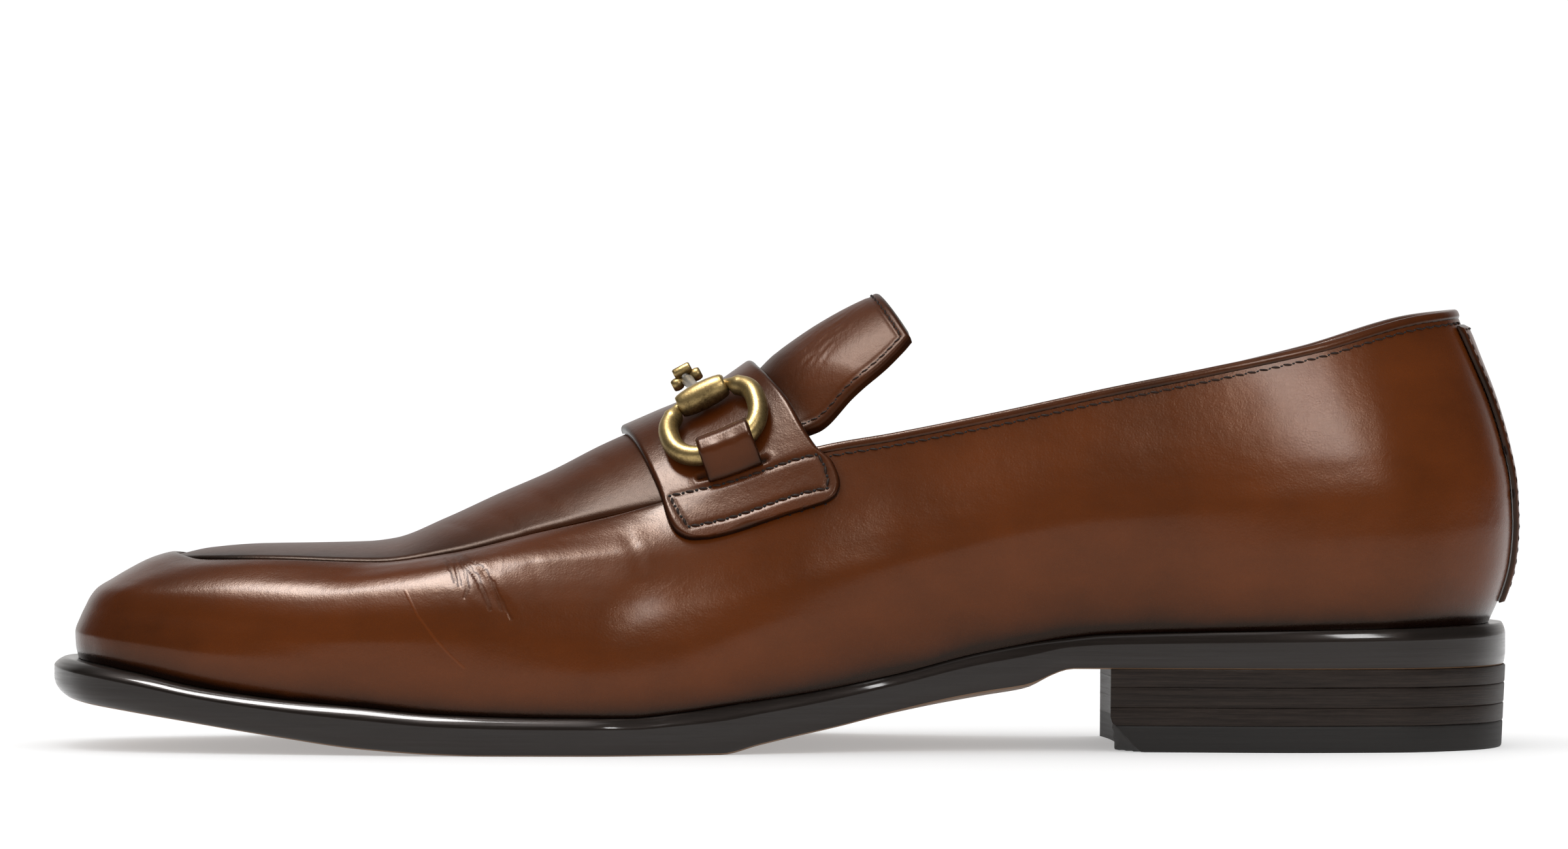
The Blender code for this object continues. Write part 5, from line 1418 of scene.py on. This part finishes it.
def sole_grid(turns, margin, height, belly=0.0, cells=1):
    """Rows across the sole, drawn in by margin, at height(x), bowed down by belly."""
    sides = []
    for side in (-1, 1):
        x, y = inset_ring(turns, side, margin, margin, margin)
        sides.append(np.stack([x, y, height(x)], axis=-1))
    grid = cross_rows(*sides, cells)
    arc = 1 - np.linspace(-1, 1, cells + 1) ** 2
    grid[..., 2] -= read(SOLE_EDGE, station(sides[0][:, 0]), 2)[:, None] * arc * belly
    return grid


print("sole belly", SOLE_BELLY / MM, "mm")

# %% Sole mesh
turns = even_turns(240, outsole_ring)
roundness = read(SOLE_EDGE, cosine_share(turns), 1)
lower_inset = roundness * LOWER_EDGE_INSET
upper_inset = (0.16 + 0.84 * roundness) * UPPER_EDGE_INSET
CELLS = 24
SHOULDER_POWER = 1.35
bottom = sole_grid(turns, lower_inset, under_height, SOLE_BELLY, CELLS)
top = sole_grid(turns, upper_inset, feather_height, 0.0, CELLS)
loops = [border(bottom)]
heights = np.concatenate([[0.012, 0.035, 0.06], np.linspace(0.09, 0.40, 7), [0.5, 0.6],
                          np.linspace(0.64, 0.985, 12)])
for share in heights:
    low_u = np.clip(1 - share / 0.40, 0, 1)
    high_u = np.clip((share - 0.74) / 0.26, 0, 1)
    inset = (lower_inset * (1 - math.sqrt(1 - low_u ** 2))
             + upper_inset * (1 - (1 - high_u ** SHOULDER_POWER) ** (1 / SHOULDER_POWER)))

    def height(x, share=share):
        return under_height(x) * (1 - share) + feather_height(x) * share

    loops.append(border(sole_grid(turns, inset, height, cells=CELLS)))
loops.append(border(top))
loops = np.stack(loops)
# Loops below this one keep the colour of the bottom
SPLIT = 2
piece("sole_and_welt", [(bottom, False, 1), (loops[:SPLIT + 1], True, 1), (loops[SPLIT:], True, 0),
                        (top, False, 0)], [edge, tan], ("outsole", "midsole_welt"), "sole_leather")

# %% [markdown]
# ## Heel
# Three lifts of stacked leather and a rubber top piece stand under the seat. They taper
# very little, their front is hollowed, and the inner front corner of the top piece is cut
# off so that it can't catch a trouser leg. The cut is made by sliding the points that lie
# beyond a plane back on to it.

# %% Heel helpers
HEEL_BREAST_STATION = 0.725
BREAST_HOLLOW = 2.5 * MM
LIFT_TAPER = 0.8 * MM
LIFT_TOP = 0.660
LIFT_LEVELS = (1.0, 0.782, 0.538, 0.320, 0.0)
LIFT_NAMES = ("heel_lift_1", "heel_lift_2", "heel_lift_3", "heel_top_piece")
CORNER_CUT = 6.0 * MM


def heel_grid(turns, inset, z, cells=24):
    """Rows across the heel, with the front bowed back by the breast's hollow."""
    sides = []
    for side in (-1, 1):
        x, y = inset_ring(turns, side, 0.0, inset, inset)
        sides.append(np.stack([x, y, np.full_like(x, z)], axis=-1))
    grid = cross_rows(*sides, cells)
    arc = 1 - np.linspace(-1, 1, cells + 1) ** 2
    x = sides[0][:, 0]
    grid[..., 0] += BREAST_HOLLOW * arc * ((x[-1] - x) / (x[-1] - x[0]))[:, None] ** 2
    return grid


def cut_corner(points):
    """Points beyond the slanted plane moved back to it along its normal."""
    x, y = outsole_ring(angle_share(HEEL_BREAST_STATION), -1)
    slope = unit(np.array([-1.0, -0.55, -0.95]))
    origin = np.array([x + CORNER_CUT, y + LIFT_TAPER, 0.0])
    beyond = np.maximum(np.sum((points - origin) * slope, axis=-1, keepdims=True), 0)
    return points - slope * beyond


print("top of the lifts at", round(LIFT_TOP * SEAT_HEIGHT / MM, 2), "mm")

# %% Heel mesh
all_turns = even_turns(400, outsole_ring)
begin = angle_share(HEEL_BREAST_STATION)
turns = np.concatenate([[begin], all_turns[all_turns > begin + 0.002]])
top_z = LIFT_TOP * SEAT_HEIGHT
for i, name in enumerate(LIFT_NAMES):
    high, low = LIFT_LEVELS[i] * top_z - 0.02 * MM, LIFT_LEVELS[i + 1] * top_z
    rows = []
    for share, groove in ((0, 0.22), (0.04, 0.05), (0.10, 0), (0.5, 0), (0.9, 0), (0.96, 0.05),
                          (1, 0.22)):
        level = LIFT_LEVELS[i + 1] + (LIFT_LEVELS[i] - LIFT_LEVELS[i + 1]) * share
        inset = LIFT_TAPER * (1 - level) + groove * MM
        rows.append(heel_grid(turns, inset, low + (high - low) * share))
    loops = np.stack([border(row) for row in rows])
    grids = [rows[0], loops, rows[-1]]
    last_one = name == "heel_top_piece"
    if last_one or name == "heel_lift_3":
        grids = [cut_corner(grid) for grid in grids]
    piece(name + "_stack", [(grids[0], False, 0), (grids[1], True, 0), (grids[2], False, 0)],
          [rubber if last_one else stack], (name,), "black_rubber" if last_one
          else "stacked_leather", sharp=35)

# %% [markdown]
# ## Sock
# Inside lies the insole under a leather sock, which shows from above.

# %% Insole and sock
INSOLE_THICKNESS = 2.4 * MM
INSOLE_MARGIN = UPPER_WALL + 0.5 * MM
turns = even_turns(160)
share = cosine_share(turns)
sides = []
for side in (-1, 1):
    x, y = feather_ring(turns, side)
    ends = np.minimum(1.0, np.sin(math.pi * turns) / END_EASE)
    x = x + INSOLE_MARGIN * ((1 - share) ** END_POWER - share ** END_POWER)
    sides.append(np.stack([x, y - side * INSOLE_MARGIN * ends, feather_height(x) + SEAT_GAP], -1))
lower = cross_rows(*sides, 30)
dish = 0.5 * MM * (1 - np.linspace(-1, 1, 31) ** 2)[None, :] * fade(share, 0.7, 0.85)[:, None]
upper_grid = lower + np.array([0, 0, INSOLE_THICKNESS])
upper_grid[..., 2] -= dish
slab("insole_sock", upper_grid, lower, [lining], ("insole",), "insole_leather")

# %% [markdown]
# ## The bit
# Two bowed rings lie on the strap, each on a pin through a bulged barrel, and a neck runs
# from each barrel to a small knobbed link on the ridge. Rings are a circle carried round a
# path, and the rest are profiles turned about an axis.

# %% Ring helpers
PIN_RADIUS = 1.2 * MM
PIN_HALF = BARREL_LENGTH / 2


def tube_around(path, radii, sides):
    """Closed tube: circles round a closed path, turned as little as possible between them."""
    run = unit(np.roll(path, -1, axis=0) - np.roll(path, 1, axis=0))
    axes = [unit(np.cross(run[0], [0.3, 0.2, 1.0]))]
    for one in run[1:]:
        axes.append(unit(axes[-1] - one * np.dot(axes[-1], one)))
    axes = np.array(axes)
    final = axes[-1] - run[0] * np.dot(axes[-1], run[0])
    twist = math.atan2(np.dot(np.cross(final, axes[0]), run[0]), np.dot(final, axes[0]))
    extra = (np.arange(len(path)) / len(path) * twist)[:, None]
    axes = axes * np.cos(extra) + np.cross(run, axes) * np.sin(extra)
    other = np.cross(run, axes)
    angle = np.linspace(0, 2 * math.pi, sides, endpoint=False)[None, :, None]
    spokes = np.cos(angle) * axes[:, None] + np.sin(angle) * other[:, None]
    return path[:, None] + spokes * radii[:, None, None], spokes


def barrel_axis(side):
    """Ends of the straight axis through one barrel."""
    return on_strap(np.array([-PIN_HALF, PIN_HALF]), 0.0, side, BARREL_RADIUS + 0.25 * MM)


print("inner barrel from", barrel_axis(-1)[0].round(4), "to", barrel_axis(-1)[1].round(4))

# %% Ring meshes
for side, name in ((-1, "bit_ring_medial"), (1, "bit_ring_lateral")):
    turn = np.linspace(0, 2 * math.pi, 1441)
    power = 2 / RING_SQUARENESS
    lengthwise = -RING_HALF_LENGTH * np.sign(np.cos(turn)) * np.abs(np.cos(turn)) ** power
    down = RING_DROP / 2 * (1 - np.sign(np.sin(turn)) * np.abs(np.sin(turn)) ** power)
    over = (down < RING_DROP / 2) & (np.abs(lengthwise) < PIN_HALF + 2.6 * MM)
    kept = np.arange(1440)[~over[:1440]]
    split = int(np.argmax(np.diff(kept, append=kept[0] + 1440))) + 1
    kept = np.roll(kept, -split)[::7]
    bow = on_strap(lengthwise[kept], down[kept], side, WIRE_RADIUS + RING_LIFT)
    start, end = barrel_axis(side)
    if np.linalg.norm(bow[0] - end) > np.linalg.norm(bow[0] - start):
        start, end = end, start
    along_pin = np.linspace(-0.06, 1.06, 24)[:, None]
    pin = start + (end - start) * along_pin
    path = np.concatenate([pin, bow])
    radii = np.concatenate([np.full(24, PIN_RADIUS), np.full(len(bow), WIRE_RADIUS)])
    radii[[0, 23]] = 1.45 * MM
    for _ in range(3):
        path = (np.roll(path, 1, axis=0) + 2 * path + np.roll(path, -1, axis=0)) / 4
    tube, spokes = tube_around(path, radii, 28)
    above = unit(instep_normals(path[:, 0], path[:, 1] / topline_half_width(path[:, 0], side)))
    rub = 0.5 + 0.5 * np.sum(spokes * above[:, None], axis=-1)
    closed = np.concatenate([tube, tube[:1]])
    rub = np.concatenate([rub, rub[:1]])
    piece(name + "_brass", [(closed, True, 0)], [antique], (name,), "antique_brass",
          rub={0: rub ** 1.5})

# %% Barrels


def turned(start, end, profile, sides=36):
    """Profile of (share along, radius) turned about the axis from start to end."""
    run = unit(end - start)
    one = unit(np.cross(run, [0.0, 0.0, 1.0]))
    two = np.cross(run, one)
    angle = np.linspace(0, 2 * math.pi, sides, endpoint=False)[:, None]
    spoke = np.cos(angle) * one + np.sin(angle) * two
    return np.stack([start + (end - start) * share + spoke * radius for share, radius in profile])


def rub_of(grid, axis_start, axis_end, amount=0.75):
    """How much the outside has rubbed: more on what faces up."""
    run = unit(axis_end - axis_start)
    away = grid - axis_start
    away = unit(away - np.sum(away * run, axis=-1, keepdims=True) * run)
    return 0.25 + amount * np.clip(0.5 + 0.5 * away[..., 2], 0, 1)


LINK_LIFT = 3.5 * MM
LINK_X = BIT_CENTRE_X - 3.1 * MM
ridge_up = instep_normals(np.array(LINK_X), np.array(0.0))
ridge_point = instep(np.array(LINK_X), np.array(0.0)) + ridge_up * (STRAP_TOP + LINK_LIFT)
BARREL_PROFILE = ((0.0, 0.48), (0.0, 0.70), (0.012, 0.76), (0.05, 0.83), (0.15, 0.91),
                  (0.30, 0.975), (0.50, 1.00), (0.70, 0.975), (0.85, 0.91), (0.95, 0.83),
                  (0.988, 0.76), (1.0, 0.70), (1.0, 0.48), (0.0, 0.48))
NECK_PROFILE = ((0.0, 0.001), (0.0, 1.5), (0.12, 1.35), (0.35, 1.12), (0.75, 1.10), (1.0, 1.3),
                (1.0, 0.001))
for side, name in ((-1, "bit_barrel_medial"), (1, "bit_barrel_lateral")):
    start, end = barrel_axis(side)
    body = turned(start, end, [(s, r * BARREL_RADIUS) for s, r in BARREL_PROFILE], 48)
    middle = (start + end) / 2
    run = ridge_point - middle
    reach = np.linalg.norm(run)
    run = run / reach
    neck = turned(middle + run * (BARREL_RADIUS - 0.5 * MM), middle + run * (reach - 1.7 * MM),
                  [(s, r * MM) for s, r in NECK_PROFILE], 24)
    piece(name + "_brass", [(body, True, 0), (neck, True, 1)], [antique, silvery], (name,),
          "antique_brass", rub={0: rub_of(body, start, end), 1: 0.7})

# %% Centre link
KNOB = 1.35
KNOBS = ((0.0, 0.001), (0.0, 0.70), (0.03, 0.88), (0.12, 1.0), (0.22, 1.0), (0.29, 0.90),
         (0.35, 0.66), (0.50, 0.62), (0.65, 0.66), (0.71, 0.90), (0.78, 1.0), (0.88, 1.0),
         (0.97, 0.88), (1.0, 0.70), (1.0, 0.001))
CAP = ((0.0, 0.001), (0.0, 0.78), (0.04, 0.93), (0.12, 1.0), (0.88, 1.0), (0.96, 0.93),
       (1.0, 0.78), (1.0, 0.001))
slope = np.array([math.cos(INSTEP_SLOPE), 0.0, math.sin(INSTEP_SLOPE)])
above = np.array([-slope[2], 0.0, slope[0]])
half = slope * 3.3 * MM
pin = turned(ridge_point - half, ridge_point + half, [(s, r * KNOB * MM) for s, r in KNOBS])
cap_at = ridge_point + above * 2.0 * MM
half = slope * 1.95 * MM
cap = turned(cap_at - half, cap_at + half, [(s, r * 1.15 * MM) for s, r in CAP])
post = turned(ridge_point, cap_at, [(0, 0.001 * MM), (0, 0.9 * MM), (1, 0.9 * MM), (1, 0.001 * MM)])
piece("bit_centre_link_brass", [(pin, True, 0), (cap, True, 0), (post, True, 1)],
      [antique, silvery], ("bit_centre_link",), "antique_brass", rub={0: 0.6, 1: 0.75, 2: 0.6})

# %% [markdown]
# ## Small marks
# A row of old needle holes shows just below the strap's lower edge, as dark painted shade.

# %% Needle holes below the strap
HOLES_FROM, HOLES_TO = (-10.0 * MM, 44.9 * MM), (11.7 * MM, 51.5 * MM)
turns, levels = np.linspace(0.3, 0.7, 401), np.linspace(0.70, 0.84, 29)
rows = []
for side in (-1, 1):
    lines = [wall(turns, level, side) for level in levels]
    path = []
    for t in np.linspace(0, 1, 30):
        x, z = np.array(HOLES_FROM) * (1 - t) + np.array(HOLES_TO) * t
        column = np.array([[np.interp(x, line[:, 0], line[:, k]) for k in range(3)]
                           for line in lines])
        path.append([np.interp(z, column[:, 2], column[:, k]) for k in range(3)])
    path = np.array(path)
    out = np.broadcast_to(unit(np.array([0.0, side * 0.85, 0.52])), path.shape)
    rows.append((path + out * 0.03 * MM, out))
stitch_row("old_needle_hole_shade", rows, 2.4, 0.75, 0.26, hole_shade, 0.0, 0.0, 0.10)

# %% [markdown]
# ## Floor and light
# The photograph was made on white, with large soft lights. A wide pale floor and a white
# world give the ground and the soft fill. A white world would also mirror in the wax and
# wash its colour out, so rays that leave a glossy surface see a much dimmer one, which
# brightens only behind the shoe and overhead. Softboxes that only those rays see then
# draw the highlights along the toe, the side and the shoulder of the sole.

# %% Floor and world
floor_mesh = bpy.data.meshes.new("floor")
floor_mesh.from_pydata([(-40, -40, 0), (40, -40, 0), (40, 40, 0), (-40, 40, 0)], [], [(0, 1, 2, 3)])
floor = bpy.data.objects.new("floor", floor_mesh)
scene.collection.objects.link(floor)
paper = Finish("pale_floor", roughness=0.75, emission_color=(1, 1, 1, 1), emission_strength=0.34)
tooth = paper.noise(8, 2)
paper.set(base_color=paper.mix(tooth, (0.66, 0.66, 0.66), (0.69, 0.69, 0.69)))
floor_mesh.materials.append(paper.material)

scene.view_settings.view_transform = "Standard"
world = bpy.data.worlds.new("studio")
scene.world = world
world.use_nodes = True
nodes, links = world.node_tree.nodes, world.node_tree.links
plain = nodes["Background"]
plain.inputs["Strength"].default_value = 1.12
plain.inputs["Color"].default_value = (1, 1, 1, 1)
dim = nodes.new("ShaderNodeBackground")
dim.inputs["Color"].default_value = (1, 0.98, 0.96, 1)
sky, parts = nodes.new("ShaderNodeTexCoord"), nodes.new("ShaderNodeSeparateXYZ")
links.new(sky.outputs["Generated"], parts.inputs["Vector"])
glow = None
for axis, low, high, amount in (("Y", 0.5, 0.98, 0.80), ("Z", 0.55, 0.95, 0.08)):
    shade = nodes.new("ShaderNodeMapRange")
    shade.interpolation_type = "SMOOTHSTEP"
    for key, value in ((1, low), (2, high), (3, 0.01), (4, amount)):
        shade.inputs[key].default_value = value
    links.new(parts.outputs[axis], shade.inputs["Value"])
    if glow is None:
        glow = shade.outputs["Result"]
    else:
        total = nodes.new("ShaderNodeMath")
        links.new(glow, total.inputs[0])
        links.new(shade.outputs["Result"], total.inputs[1])
        glow = total.outputs[0]
links.new(glow, dim.inputs["Strength"])
rays, choice = nodes.new("ShaderNodeLightPath"), nodes.new("ShaderNodeMixShader")
links.new(rays.outputs["Is Glossy Ray"], choice.inputs["Fac"])
links.new(plain.outputs["Background"], choice.inputs[1])
links.new(dim.outputs["Background"], choice.inputs[2])
links.new(choice.outputs["Shader"], nodes["World Output"].inputs["Surface"])
print("floor and world ready")

# %% Softboxes


def softbox(name, place, size, power, target=(0, 0, 0.05), fills=False):
    """Area light aimed at the shoe. Unless it fills, only mirrored rays see it."""
    light = bpy.data.lights.new(name, "AREA")
    light.shape = "RECTANGLE"
    light.size, light.size_y = size
    light.energy = power
    made = bpy.data.objects.new(name, light)
    made.location = place
    made.visible_diffuse = fills
    made.visible_camera = False
    aim = Vector(target) - Vector(place)
    made.rotation_euler = aim.to_track_quat("-Z", "Y").to_euler()
    scene.collection.objects.link(made)


softbox("top_softbox", (-0.35, -0.15, 1.2), (0.55, 0.28), 18)
softbox("right_softbox", (0.40, -1.15, 0.86), (0.16, 0.42), 5)
softbox("fill_softbox", (-0.3, -0.5, 1.4), (1.0, 0.8), 2, fills=True)
